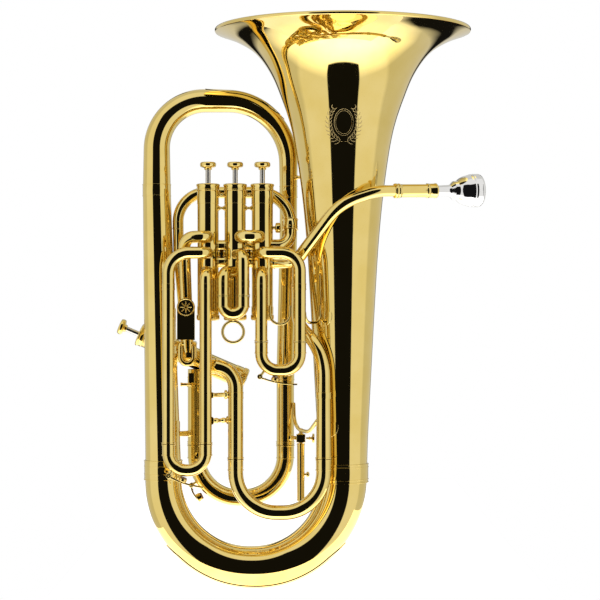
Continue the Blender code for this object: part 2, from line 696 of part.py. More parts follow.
def make_receiver():
    length = RECEIVER_LENGTH
    profile = [
        (8.6, 0), (8.6, 5), (7.7, 6), (7.7, length - 13), (8.2, length - 12), (8.2, length - 3),
        (7.3, length), (6.6, length), (5.4, length - 30), (5.0, length - 34), (5.0, 0),
    ]
    turned("mouthpiece_receiver", profile, RECEIVER_FOOT, RECEIVER_AXIS, 12, BRASS, closed=True)


def make_mouthpiece():
    """Shank, throat, cup and rim. Heights run from the shank's end to the rim."""
    foot = RECEIVER_FOOT + RECEIVER_AXIS * (RECEIVER_LENGTH - MOUTHPIECE_SEATED)
    top = MOUTHPIECE_LENGTH
    outside = [
        (4.7, 0), (6.0, MOUTHPIECE_SEATED), (6.6, 40), (7.2, 45), (11.6, 53), (15.4, 62), (16.8, 70),
        (19.2, 73), (19.4, top - 4), (18.2, top - 0.6), (16.4, top),
    ]
    inside = [
        (14.0, top), (12.8, top - 2.5), (11.8, top - 14), (8.0, top - 25), (3.4, top - 32),
        (3.4, top - 38), (4.0, 0),
    ]
    turned("mouthpiece", outside + inside, foot, RECEIVER_AXIS, VALVE_SIDES, SILVER, closed=True)


# Water keys, ring, plate and stop rod ---------------------------------------------------------
def make_water_key(name, bow, bend_centre, reach, pivot, along, length, pad_at, pad_height):
    """A lever with an eye at its pivot and a pad that closes the drain under a bow.

    The bow gets the short post that carries the pivot. reach runs from the bend's centre to the
    bow's outer wall.
    """
    centre, pivot = Vector(bend_centre), Vector(pivot)
    outwards = (pivot - centre).normalized()
    brace(bow, centre + outwards * (reach - 1.0), pivot - outwards * (2.2 + GAP), 1.6)
    along = Vector(along).normalized()
    towards_bow = Vector((-along.z, 0, along.x))
    outline = circle_points(2.2, 7, start=120, sweep=240)
    outline += [
        (length * 0.5, -2.6), (length, -1.6), (length, -0.6), (pad_at + 3.2, -1.2),
        (pad_at + 3.2, pad_height), (pad_at - 3.2, pad_height), (pad_at - 3.2, -1.0),
    ]
    return extruded(name, outline, 4.0, pivot, along, towards_bow, BRASS)


def make_pull_ring():
    """The finger ring under slide 2, with the foot that solders it to the bow."""
    ring_r, wire_r, ring_z = 12.2, 1.3, 303.6
    centre = Vector((-27.6, SLIDE_Y, ring_z))
    profile = [(ring_r + x, y) for x, y in circle_points(wire_r, 6)]
    turned("pull_ring", profile, centre, (0, 1, 0), 18, BRASS, closed=True)


def make_hand_plate():
    """The flat guard between the long slide's sleeves, with its round badge."""
    centre = Vector((-83.0, -38.5, 319.0))
    half_w, half_h = 10.6, 25.0
    outline = [(-half_w, -half_h), (half_w, -half_h), (half_w, half_h - 4), (half_w - 4, half_h)]
    outline += [(-half_w + 4, half_h), (-half_w, half_h - 4)]
    plate = extruded("hand_plate", outline, 1.2, centre, (1, 0, 0), (0, 0, 1), BRASS)
    badge_foot = centre + Vector((0, -0.3, 12.4))
    badge = [(10.2, 0), (10.2, 1.2), (9.0, 1.9)]
    join(plate, turned("hand_plate_badge", badge, badge_foot, (0, -1, 0), VALVE_SIDES, BRASS))
    brace(plate, (-82.2, -38.5, 305.0), (-82.2, -31.2, 305.0), 2.0)
    brace(plate, (-83.0, -38.5, 333.0), (-83.0, -34.4, 333.0), 2.0)


def make_stop_rod():
    """The rod that guides the main tuning slide and the screw that clamps it."""
    rod_x, rod_y = 50.6, 15.0
    profile = [(0, 0), (5.0, 0), (5.0, 69.0), (2.2, 69.0), (2.2, 87.0), (0, 87.0)]
    turned("stop_rod", profile, (rod_x, rod_y, 101.0), (0, 0, 1), TUBE_SIDES, BRASS)
    screw = [(0, 0), (1.2, 0), (1.2, 3.0), (2.2, 3.0), (2.2, 7), (5.6, 8), (5.6, 10.2), (0, 10.2)]
    turned("clamp_screw", screw, (rod_x + 6.3, rod_y, 176.0), (1, 0, 0), TUBE_SIDES, BRASS)


def make_small_parts():
    make_pull_ring()
    make_hand_plate()
    make_stop_rod()


make_bell()
make_branches()
make_main_slide()
make_valves()
make_knuckles(3, 2)
make_knuckles(2, 1)
make_crossover()
make_side_valve_tubes()
make_comp_loops()
make_slides()
make_leadpipe()
make_receiver()
make_mouthpiece()
make_small_parts()
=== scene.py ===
"""Looks of the compensating euphonium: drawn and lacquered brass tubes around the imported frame.

Shapes are made in millimetres, in the frame's own axes: +Z up along the bell, +X towards the
mouthpiece, -Y towards the valve slides. Places come from the frame's nodes.
"""
import json
import math

import bmesh
import bpy
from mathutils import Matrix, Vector


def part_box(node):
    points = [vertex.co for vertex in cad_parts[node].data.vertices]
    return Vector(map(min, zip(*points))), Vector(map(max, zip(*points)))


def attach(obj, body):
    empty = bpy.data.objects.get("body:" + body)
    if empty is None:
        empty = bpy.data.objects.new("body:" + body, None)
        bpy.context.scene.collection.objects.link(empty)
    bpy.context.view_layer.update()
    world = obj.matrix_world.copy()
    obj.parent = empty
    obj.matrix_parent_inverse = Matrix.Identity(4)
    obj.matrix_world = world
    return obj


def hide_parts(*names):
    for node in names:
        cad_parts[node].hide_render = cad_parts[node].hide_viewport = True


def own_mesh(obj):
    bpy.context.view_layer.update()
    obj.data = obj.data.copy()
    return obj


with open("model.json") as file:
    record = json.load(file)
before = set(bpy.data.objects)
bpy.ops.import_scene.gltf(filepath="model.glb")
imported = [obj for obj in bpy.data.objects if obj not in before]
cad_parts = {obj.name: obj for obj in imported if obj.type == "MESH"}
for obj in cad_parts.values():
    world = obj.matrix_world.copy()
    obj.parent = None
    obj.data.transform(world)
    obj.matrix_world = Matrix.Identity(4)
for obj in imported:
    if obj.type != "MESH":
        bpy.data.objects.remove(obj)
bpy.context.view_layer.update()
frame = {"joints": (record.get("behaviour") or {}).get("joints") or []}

MM = 0.001
BEND_STEP = 6.0                   # degrees between the rings of a bent tube
ROUND = 40                        # sides of a drawn tube
WALL = 0.8
UP, RIGHT, FRONT = Vector((0, 0, 1)), Vector((1, 0, 0)), Vector((0, -1, 0))
BACK = -FRONT

BELL_PROFILE = (                  # (outer radius, height) from the throat to the rim
    (28.8, 137.0), (30.0, 180.0), (33.6, 250.0), (38.4, 340.0), (43.2, 415.0), (50.2, 482.0),
    (59.7, 539.0), (73.5, 581.5), (86.3, 610.0), (104.0, 633.0), (127.0, 647.5), (150.4, 656.5),
)
EIGHT = math.cos(math.pi / 8)     # how far an eight-sided tube of the frame reaches, per radius
TEN = math.cos(math.pi / 10)
FOURTEEN = math.cos(math.pi / 14)


# Places in the frame
def extent(node):
    low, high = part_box(node)
    return Vector(low) * 1000, Vector(high) * 1000


def middle(node):
    low, high = extent(node)
    return (low + high) / 2


def joint(name):
    return next(j for j in frame["joints"] if j["name"] == name)


# Materials
def shader(name, colour, roughness, metallic):
    """A Principled material and its node tree."""
    made = bpy.data.materials.new(name)
    made.use_nodes = True
    principled = made.node_tree.nodes["Principled BSDF"]
    principled.inputs["Base Color"].default_value = (*colour, 1.0)
    principled.inputs["Roughness"].default_value = roughness
    principled.inputs["Metallic"].default_value = metallic
    return made, made.node_tree, principled


def noise(tree, scale, detail, stretch=(1, 1, 1)):
    """Noise over the object's own coordinates; scale is per metre."""
    place = tree.nodes.new("ShaderNodeTexCoord")
    mapping = tree.nodes.new("ShaderNodeMapping")
    mapping.inputs["Scale"].default_value = stretch
    texture = tree.nodes.new("ShaderNodeTexNoise")
    texture.inputs["Scale"].default_value = scale
    texture.inputs["Detail"].default_value = detail
    tree.links.new(place.outputs["Object"], mapping.inputs["Vector"])
    tree.links.new(mapping.outputs["Vector"], texture.inputs["Vector"])
    return texture.outputs["Fac"]


def spread(tree, value, low, high, start=0.3, end=0.7):
    """Maps a value between start and end onto low and high."""
    mapped = tree.nodes.new("ShaderNodeMapRange")
    mapped.inputs["From Min"].default_value = start
    mapped.inputs["From Max"].default_value = end
    mapped.inputs["To Min"].default_value = low
    mapped.inputs["To Max"].default_value = high
    tree.links.new(value, mapped.inputs["Value"])
    return mapped.outputs["Result"]


def blend_colours(tree, factor, first, second):
    """Mixes two colours, each given as a value or a socket."""
    mixed = tree.nodes.new("ShaderNodeMix")
    mixed.data_type = "RGBA"
    tree.links.new(factor, mixed.inputs["Factor"])
    for name, colour in (("A", first), ("B", second)):
        if isinstance(colour, tuple):
            mixed.inputs[name].default_value = (*colour, 1.0)
        else:
            tree.links.new(colour, mixed.inputs[name])
    return mixed.outputs["Result"]


def bumped(tree, principled, height, depth):
    """depth is in metres."""
    bump = tree.nodes.new("ShaderNodeBump")
    bump.inputs["Strength"].default_value = 1.0
    bump.inputs["Distance"].default_value = depth
    tree.links.new(height, bump.inputs["Height"])
    tree.links.new(bump.outputs["Normal"], principled.inputs["Normal"])


def polished(name, pale, deep, smooth, dull, ripple, coat):
    """Polished metal: cloudy colour, patches of finer and duller polish, and a slight ripple."""
    made, tree, principled = shader(name, pale, smooth, 1.0)
    cloud = spread(tree, noise(tree, 28.0, 3.0), 0.0, 1.0)
    tree.links.new(blend_colours(tree, cloud, pale, deep), principled.inputs["Base Color"])
    wear = noise(tree, 160.0, 4.0, (1, 1, 0.4))
    tree.links.new(spread(tree, wear, smooth, dull, 0.35, 0.8), principled.inputs["Roughness"])
    bumped(tree, principled, noise(tree, 45.0, 1.0), ripple)
    principled.inputs["Coat Weight"].default_value = coat
    principled.inputs["Coat Roughness"].default_value = 0.04
    return made


def make_cork():
    made, tree, principled = shader("cork", (0.45, 0.27, 0.12), 0.8, 0.0)
    grain = spread(tree, noise(tree, 1400.0, 5.0), 0.0, 1.0)
    tree.links.new(blend_colours(tree, grain, (0.50, 0.31, 0.15), (0.18, 0.09, 0.04)),
                   principled.inputs["Base Color"])
    bumped(tree, principled, noise(tree, 1600.0, 4.0), 0.0002)
    return made


def make_engraving():
    """The matt, slightly rough cut of an engraver's tool."""
    made, tree, principled = shader("engraving", (0.72, 0.55, 0.24), 0.45, 1.0)
    cut = noise(tree, 3000.0, 2.0, (1, 1, 3))
    tree.links.new(spread(tree, cut, 0.35, 0.6), principled.inputs["Roughness"])
    bumped(tree, principled, cut, 0.00005)
    return made


BRASS = polished("lacquered_brass", (0.90, 0.70, 0.25), (0.85, 0.64, 0.19), 0.02, 0.07, 0.00005, 0.25)
SILVER = polished("silver_plate", (0.90, 0.89, 0.87), (0.83, 0.82, 0.80), 0.03, 0.09, 0.00004, 0.0)
NICKEL = polished("nickel_silver", (0.70, 0.67, 0.61), (0.58, 0.55, 0.49), 0.12, 0.28, 0.00004, 0.0)
STEEL = polished("spring_steel", (0.50, 0.50, 0.52), (0.36, 0.36, 0.38), 0.22, 0.40, 0.00004, 0.0)
CORK = make_cork()
ENGRAVED = make_engraving()


# Shapes
def square_to(axis):
    """Two unit vectors square to an axis and to each other."""
    axis = Vector(axis).normalized()
    reference = Vector((0, 1, 0)) if abs(axis.y) < 0.9 else Vector((1, 0, 0))
    first = axis.cross(reference).normalized()
    return first, axis.cross(first)


def route(corners, step=BEND_STEP):
    """Points along straight runs with rounded corners. A corner is (x, y, z, bend radius)."""
    points = [Vector(corners[0][:3])]
    for before, corner, after in zip(corners, corners[1:], corners[2:]):
        at, radius = Vector(corner[:3]), corner[3]
        into = (at - Vector(before[:3])).normalized()
        out = (Vector(after[:3]) - at).normalized()
        turn = into.angle(out)
        if turn < 0.01:
            continue
        start = at - into * radius * math.tan(turn / 2)
        inwards = (out - into * into.dot(out)).normalized()
        centre = start + inwards * radius
        count = max(3, math.ceil(math.degrees(turn) / step))
        for i in range(count + 1):
            angle = turn * i / count
            points.append(centre - inwards * radius * math.cos(angle) + into * radius * math.sin(angle))
    points.append(Vector(corners[-1][:3]))
    kept = [points[0]]
    for point in points[1:]:
        if (point - kept[-1]).length > 0.2:
            kept.append(point)
    return kept


def shares_along(points):
    """How far along the path each point lies, from 0 to 1."""
    total = [0.0]
    for a, b in zip(points, points[1:]):
        total.append(total[-1] + (b - a).length)
    return [s / total[-1] for s in total]


def frames_along(points):
    """(first, second) vectors square to the path at each point, with as little twist as possible."""
    runs = [(b - a).normalized() for a, b in zip(points, points[1:])]
    tangents = [runs[0], *[(a + b).normalized() for a, b in zip(runs, runs[1:])], runs[-1]]
    first, _ = square_to(tangents[0])
    frames, previous = [], tangents[0]
    for tangent in tangents:
        first = (previous.rotation_difference(tangent) @ first).normalized()
        frames.append((first, tangent.cross(first)))
        previous = tangent
    return frames


def smooth_curve(knots, per_span=8):
    """A Catmull-Rom curve through 2D knots."""
    ends = [knots[0], *knots, knots[-1]]
    curve = []
    for a, b, c, d in zip(ends, ends[1:], ends[2:], ends[3:]):
        for i in range(per_span):
            t = i / per_span
            curve.append(tuple(
                q + 0.5 * t * (r - p + t * (2 * p - 5 * q + 4 * r - s + t * (3 * q - p - 3 * r + s)))
                for p, q, r, s in zip(a, b, c, d)
            ))
    curve.append(tuple(knots[-1]))
    return curve


def arc(centre, radius, start, sweep, count):
    """Points of a 2D arc, in degrees."""
    angles = [math.radians(start + sweep * i / (count - 1)) for i in range(count)]
    return [(centre[0] + radius * math.cos(a), centre[1] + radius * math.sin(a)) for a in angles]


class Piece:
    """Gathers shapes, in millimetres, into one mesh that rides on a body."""

    def __init__(self, name, surface=BRASS):
        self.name, self.surface, self.bm = name, surface, bmesh.new()

    def loop(self, centre, first, second, radius, sides):
        angles = [2 * math.pi * i / sides for i in range(sides)]
        return [self.bm.verts.new(centre + (first * math.cos(a) + second * math.sin(a)) * radius)
                for a in angles]

    def skin(self, loops, closed):
        pairs = list(zip(loops, loops[1:]))
        if closed:
            pairs.append((loops[-1], loops[0]))
        for low, high in pairs:
            count = max(len(low), len(high))
            for i in range(count):
                j = (i + 1) % count
                ring = [low[i % len(low)], low[j % len(low)], high[j % len(high)], high[i % len(high)]]
                self.bm.faces.new(list(dict.fromkeys(ring)))
        if not closed:
            for end in (loops[0], loops[-1]):
                if len(end) > 2:
                    self.bm.faces.new(end)

    def tube(self, points, start, end=None, wall=WALL, sides=ROUND):
        """A hollow tube whose outer radius runs evenly from start to end."""
        end = start if end is None else end
        outer = [start + (end - start) * s for s in shares_along(points)]
        stations = list(zip(points, frames_along(points), outer))
        inner = [(p, f, r - wall) for p, f, r in stations]
        self.skin([self.loop(p, *f, r, sides) for p, f, r in stations + inner[::-1]], closed=True)
        return self

    def wire(self, points, radius, sides=16):
        """A solid wire with rounded ends."""
        points = [points[0] + (points[0] - points[1]).normalized() * radius * 0.3, *points]
        points.append(points[-1] + (points[-1] - points[-2]).normalized() * radius * 0.3)
        radii = [radius * 0.6, *[radius] * (len(points) - 2), radius * 0.6]
        frames = frames_along(points)
        self.skin([self.loop(p, *f, r, sides) for p, f, r in zip(points, frames, radii)], closed=False)
        return self

    def turned(self, profile, foot, axis, sides=ROUND, closed=False):
        """Turns (radius, height) points about an axis from its foot. A closed profile makes a ring."""
        axis = Vector(axis).normalized()
        first, second = square_to(axis)
        loops = []
        for radius, height in profile:
            centre = Vector(foot) + axis * height
            if radius < 1e-6:
                loops.append([self.bm.verts.new(centre)])
            else:
                loops.append(self.loop(centre, first, second, radius, sides))
        self.skin(loops, closed)
        return self

    def ring(self, foot, axis, inner, outer, length, soft=0.35, sides=ROUND):
        """A plain sleeve with softened corners, such as a ferrule or a bead."""
        soft = min(soft, (outer - inner) * 0.45, length * 0.45)
        low = [(inner, 0), (outer - soft, 0), (outer - soft * 0.3, soft * 0.3), (outer, soft)]
        return self.turned(low + [(r, length - h) for r, h in low[::-1]], foot, axis, sides, closed=True)

    def ferrule(self, foot, axis, tube_r, length, bead=0.55):
        """A reinforcing sleeve with a fine bead at each end."""
        axis = Vector(axis).normalized()
        self.ring(Vector(foot) + axis * 0.4, axis, tube_r - 0.2, tube_r + bead * 0.45, length - 0.8)
        for at in (0.0, length - 1.3):
            self.ring(Vector(foot) + axis * at, axis, tube_r - 0.2, tube_r + bead, 1.3, 0.5)
        return self

    def stay(self, start, end, thin=1.5, flare=3.0):
        """A soldered brace: a turned rod that flares into a round foot at each end."""
        start, end = Vector(start), Vector(end)
        length = (end - start).length
        foot = [(0, 0), (flare, 0), (flare, 0.5), (flare * 0.86, 0.9), (thin * 1.25, 1.7), (thin, 3.0)]
        self.turned(foot + [(r, length - h) for r, h in foot[::-1]], start, end - start, 20)
        return self

    def baluster(self, start, end, waist=1.3, belly=2.9, flare=3.3):
        """A decorative brace with two turned bellies."""
        start, end = Vector(start), Vector(end)
        length = (end - start).length
        half = [(0, 0), (flare, 0), (flare, 0.7), (waist * 1.3, 1.5), (waist, 2.2)]
        half += [(waist + (belly - waist) * math.sin(math.pi * i / 8), 2.2 + (length / 2 - 2.8) * i / 8)
                 for i in range(1, 9)]
        half += [(waist * 1.5, length / 2 - 0.3)]
        self.turned(half + [(r, length - h) for r, h in half[::-1]], start, end - start, 20)
        return self

    def plate(self, outline, thickness, foot, across, up, soft=0.25):
        """A flat plate with softened edges: outline points (across, up) from its foot."""
        across, up = Vector(across).normalized(), Vector(up).normalized()
        normal = across.cross(up)
        loops = []
        count = len(outline)
        edge = 1 - 2 * soft / thickness
        for inset, side in ((soft, -1), (0, -edge), (0, edge), (soft, 1)):
            level = Vector(foot) + normal * side * thickness / 2
            ring = []
            for i, (u, v) in enumerate(outline):
                before, after = outline[i - 1], outline[(i + 1) % count]
                run = Vector((after[0] - before[0], after[1] - before[1])).normalized()
                u, v = u - run.y * inset, v + run.x * inset
                ring.append(self.bm.verts.new(level + across * u + up * v))
            loops.append(ring)
        self.skin(loops, closed=False)
        return self

    def slab(self, half_width, half_height, thickness, foot, soft):
        """A rectangular plate that faces the front."""
        corners = [(u * half_width, v * half_height) for u, v in ((-1, -1), (1, -1), (1, 1), (-1, 1))]
        return self.plate(corners, thickness, foot, RIGHT, UP, soft)

    def saddle_disc(self, tube_at, tube_axis, outwards, tube_r, disc_r, thick=0.6):
        """A round solder plate wrapped on a tube."""
        axis = Vector(tube_axis).normalized()
        outwards = Vector(outwards).normalized()
        sideways = axis.cross(outwards)

        def on_tube(across, along, height):
            turn = across / tube_r
            out = outwards * math.cos(turn) + sideways * math.sin(turn)
            return self.bm.verts.new(Vector(tube_at) + axis * along + out * (tube_r + height))

        heights = [thick, thick, thick, thick * 0.8, thick * 0.4, -0.3]
        loops = []
        for share, height in zip((0.02, 0.5, 0.93, 0.985, 1.0, 1.0), heights):
            around = arc((0, 0), disc_r * share, 0, 360, 49)[:-1]
            loops.append([on_tube(across, along, height) for across, along in around])
        self.skin(loops, closed=False)
        return self

    def build(self, crease=32):
        """The finished shape as an object in the scene."""
        bmesh.ops.scale(self.bm, vec=(MM, MM, MM), verts=self.bm.verts)
        bmesh.ops.recalc_face_normals(self.bm, faces=self.bm.faces)
        mesh = bpy.data.meshes.new(self.name)
        self.bm.to_mesh(mesh)
        self.bm.free()
        mesh.materials.append(self.surface)
        mesh.shade_smooth()
        mesh.set_sharp_from_angle(angle=math.radians(crease))
        made = bpy.data.objects.new(self.name, mesh)
        bpy.context.scene.collection.objects.link(made)
        return made

    def ride(self, body, *nodes, crease=32):
        """Rides the finished shape on a body, in place of the nodes it stands for."""
        made = self.build(crease)
        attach(made, body)
        if nodes:
            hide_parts(*nodes)
        return made


# Bell and branches
BELL_X = middle("bell_ferrule").x
BELL_TOP = extent("bell")[1].z
BELL_RIM_R = (extent("bell")[1].y - extent("bell")[0].y) / 2


def bell_radius(height):
    """Outer radius of the bell at a height."""
    for (r0, z0), (r1, z1) in zip(BELL_LINE, BELL_LINE[1:]):
        if z0 <= height <= z1:
            return r0 + (r1 - r0) * (height - z0) / (z1 - z0)
    return BELL_LINE[-1][0]


BELL_LINE = smooth_curve(BELL_PROFILE, 7)


def make_bell():
    """The flared body, with the wire rolled into its rim."""
    inside = [(r - WALL, z + (0.55 if r > 60 else 0.0)) for r, z in BELL_LINE]
    wire_r = 2.5
    rim = arc((BELL_RIM_R - wire_r, BELL_TOP - wire_r), wire_r, -70, 220, 14)
    bell = Piece("bell_body")
    bell.turned(list(BELL_LINE) + rim + inside[::-1], (BELL_X, 0, 0), UP, 160, closed=True)
    bell.ride("instrument", "bell", crease=60)


def on_bell(across, height, proud):
    """A point on the front of the bell: across is measured round its surface."""
    radius = bell_radius(height)
    turn = across / radius
    out = RIGHT * math.sin(turn) + FRONT * math.cos(turn)
    return Vector((BELL_X, 0, height)) + out * (radius + proud)


def engraved_line(piece, points, width):
    """A thin raised ribbon along (across, height) points on the bell, tapered at its ends."""
    count = len(points)
    sides = ([], [])
    for i, (across, height) in enumerate(points):
        before, after = points[max(i - 1, 0)], points[min(i + 1, count - 1)]
        run = Vector((after[0] - before[0], after[1] - before[1])).normalized()
        half = width / 2 * max(0.12, math.sin(math.pi * i / (count - 1)) ** 0.5)
        for side, sign in zip(sides, (1, -1)):
            side.append((across - run.y * half * sign, height + run.x * half * sign))
    proud = 0.10
    left = [piece.bm.verts.new(on_bell(u, v, proud)) for u, v in sides[0]]
    centre = [piece.bm.verts.new(on_bell(u, v, proud + 0.05)) for u, v in points]
    right = [piece.bm.verts.new(on_bell(u, v, proud)) for u, v in sides[1]]
    for a, b in ((left, centre), (centre, right)):
        for i in range(count - 1):
            piece.bm.faces.new((a[i], a[i + 1], b[i + 1], b[i]))


def leaf_line(foot, angle, size, bulge):
    """A bowed line from a stem, as (across, height) points."""
    leaf = []
    for i in range(9):
        along, bow = size * i / 8, bulge * math.sin(math.pi * i / 8)
        leaf.append((foot[0] + along * math.cos(angle) - bow * math.sin(angle),
                     foot[1] + along * math.sin(angle) + bow * math.cos(angle)))
    return leaf


def make_engraving_on_bell():
    """A plain laurel spray each side of an empty oval."""
    piece = Piece("bell_engraving", ENGRAVED)
    centre_z = 545.0
    for half_width, half_height, line in ((11.0, 15.0, 0.7), (9.2, 13.0, 0.35)):
        oval = [(half_width * u, centre_z + half_height * v) for u, v in arc((0, 0), 1.0, 0, 360, 61)]
        engraved_line(piece, oval, line)
    for side in (-1, 1):
        stem = [(side * 17.5 * u, centre_z + 22.0 * v) for u, v in arc((0, 0), 1.0, -88, 136, 35)]
        engraved_line(piece, stem, 0.6)
        for i in range(3, 34, 3):
            heading = math.atan2(stem[i][1] - stem[i - 1][1], stem[i][0] - stem[i - 1][0])
            for lean in (-0.75, 0.75):
                leaf = leaf_line(stem[i], heading + lean, 7.5 - 3.0 * i / 34, math.copysign(0.9, lean))
                engraved_line(piece, leaf, 1.0)
    piece.ride("instrument")


def make_branches():
    """The wide tubes: left branch, bottom bow with its guard, top bow and descending branch."""
    low_x = middle("bow_ferrule").x
    branch_low, branch_high = extent("left_branch")
    top_low, top_high = extent("top_bow")
    top_x = branch_low.x + 16.4 * FOURTEEN
    right_x, right_y = top_high.x - 10.4 * FOURTEEN, top_high.y - 10.4
    joint_z, bell_z = extent("bottom_bow")[1].z, extent("bell")[0].z
    bow_z, crown_z = 24.8, top_high.z - 14.0

    left = Piece("left_branch_tube")
    left.tube([Vector((top_x, 0, branch_high.z)), Vector((low_x, 0, joint_z + 0.3))], 16.4, 21.0, WALL, 64)
    for height, radius in ((319.0, 19.0), (268.0, 19.6), (186.0, 20.8)):
        x = top_x + (low_x - top_x) * (branch_high.z - height) / (branch_high.z - joint_z)
        left.saddle_disc((x, 0, height), UP, (0.93, -0.36, 0), radius - 0.5, 12.5)
    left.ride("instrument", "left_branch")
    discs = Piece("bell_discs")
    for height, out in ((192.0, (-0.55, -0.83, 0)), (322.0, (-0.62, -0.78, 0))):
        discs.saddle_disc((BELL_X, 0, height), UP, out, bell_radius(height) - 0.3, 12.0)
    discs.ride("instrument")

    bottom_route = route([
        (low_x, 0, joint_z, 0), (low_x, 0, bow_z, 104),
        (BELL_X, 0, bow_z, 104), (BELL_X, 0, bell_z - 0.3, 0),
    ], 3)
    bottom = Piece("bottom_bow_tube")
    bottom.tube(bottom_route, 21.0, 28.7, WALL, 72)
    bottom.ride("instrument", "bottom_bow")
    bow_hub = Vector((-5.0, 0, 112.0))
    make_bow_guard("bottom_bow_guard", bottom_route, (21.0, 28.7), (0.22, 0.80), bow_hub, 34)

    crown_route = route([
        (top_x, 0, branch_high.z + 0.3, 0), (top_x, 0, crown_z, 58), (right_x, right_y, crown_z, 72),
        (right_x, right_y, top_low.z, 0),
    ], 3)
    crown = Piece("top_bow_tube")
    crown.tube(crown_route, 16.4, 10.4, WALL, 64)
    crown.ride("instrument", "top_bow")
    crown_hub = Vector((-45.0, 10, 500.0))
    make_bow_guard("top_bow_guard", crown_route, (16.4, 10.4), (0.44, 0.74), crown_hub, 52)
    make_joint_ferrules(low_x, top_x, branch_high.z, right_x, right_y)
    make_descending_branch(right_x, right_y, top_low.z)


def make_bow_guard(name, path, radii, reach, hub, span):
    """A thin guard plate on the outside of a bow, between two shares of its length."""
    guard = Piece(name)
    loops = []
    for point, share, (first, second) in zip(path, shares_along(path), frames_along(path)):
        if not reach[0] < share < reach[1]:
            continue
        taper = min(1.0, (share - reach[0] + 0.005) / 0.06, (reach[1] + 0.005 - share) / 0.06)
        tangent = first.cross(second)
        out = point - hub
        out = (out - tangent * out.dot(tangent)).normalized()
        sideways = tangent.cross(out)
        radius = radii[0] + (radii[1] - radii[0]) * share
        half = math.radians(span * math.sqrt(max(taper, 0.05)))
        turns = [-half + 2 * half * i / 14 for i in range(15)]
        rises = [0.8, *[0.55] * 13, 0.8]
        section = [*zip(turns, rises), *((turn, -0.2) for turn in turns[::-1])]
        corners = [point + (out * math.cos(a) + sideways * math.sin(a)) * (radius + h) for a, h in section]
        loops.append([guard.bm.verts.new(corner) for corner in corners])
    guard.skin(loops, closed=False)
    guard.ride("instrument", crease=50)


def make_joint_ferrules(low_x, top_x, top_z, right_x, right_y):
    """The bands round the bows' joints, and the stay from the top bow to the bell."""
    low, high = extent("bow_ferrule")
    bow = Piece("bow_ferrule_band")
    bow.ferrule((low_x, 0, low.z), UP, 21.9, high.z - low.z, 1.0)
    bow.ring((low_x, 0, low.z + 6.5), UP, 21.5, 22.7, 1.4)
    bow.ring((low_x, 0, high.z - 7.9), UP, 21.5, 22.7, 1.4)
    bow.ride("instrument", "bow_ferrule")
    low, high = extent("bell_ferrule")
    bell = Piece("bell_ferrule_band")
    bell.ferrule((BELL_X, 0, low.z), UP, 29.8, high.z - low.z, 1.1)
    bell.ring((BELL_X, 0, low.z + 3.4), UP, 29.3, 30.8, 1.3)
    bell.ring((BELL_X, 0, high.z - 4.7), UP, 29.3, 30.8, 1.3)
    bell.ride("instrument", "bell_ferrule")
    crown = Piece("top_bow_ferrules")
    crown.ferrule((top_x, 0, top_z - 7), UP, 16.4, 14.5, 0.6)
    crown.ferrule((right_x, right_y, top_z - 7), UP, 10.4, 14.5, 0.6)
    stay_z = 487.0
    towards = Vector((right_x - BELL_X, right_y, 0)).normalized()
    at_bell = Vector((BELL_X, 0, stay_z)) + towards * bell_radius(stay_z)
    crown.stay(Vector((right_x, right_y, stay_z)) - towards * 10.2, at_bell, 1.9, 3.4)
    crown.ride("instrument")


def make_descending_branch(right_x, right_y, top_z):
    """The leg behind the valves, with a sleeve of the main slide and the clamp block."""
    low_z = extent("descending_branch")[0].z
    branch = Piece("descending_branch_tube")
    branch.tube([
        Vector((right_x, right_y, top_z - 0.3)), Vector((right_x, right_y, 420.0)),
        Vector((MAIN_RIGHT_X, MAIN_Y, 260.0)), Vector((MAIN_RIGHT_X, MAIN_Y, low_z)),
    ], MAIN_SLEEVE_R)
    branch.ferrule((MAIN_RIGHT_X, MAIN_Y, low_z), UP, MAIN_SLEEVE_R, 4.0, 0.7)
    branch.ferrule((MAIN_RIGHT_X, MAIN_Y, 244.0), UP, MAIN_SLEEVE_R, 9.0, 0.6)
    block = Vector((*middle("stop_rod").xy, middle("clamp_screw").z))
    beside = Vector((MAIN_RIGHT_X, MAIN_Y, block.z))
    side = (block - beside).normalized()
    branch.stay(beside + side * 9.8, block - side * 4.0, 2.2, 4.2)
    branch.slab(5.3, 4.9, 9.8, block, 0.6)
    branch.ring(block + UP * 4.6, UP, 2.6, 3.6, 1.2)
    branch.ride("instrument", "descending_branch")


MAIN_SLEEVE_R, MAIN_CROOK_R = 10.4, 10.2
MAIN_Y = middle("main_tuning_slide").y
MAIN_LEFT_X = extent("main_tuning_slide")[0].x + MAIN_CROOK_R * TEN
MAIN_RIGHT_X = extent("main_tuning_slide")[1].x - MAIN_CROOK_R * TEN


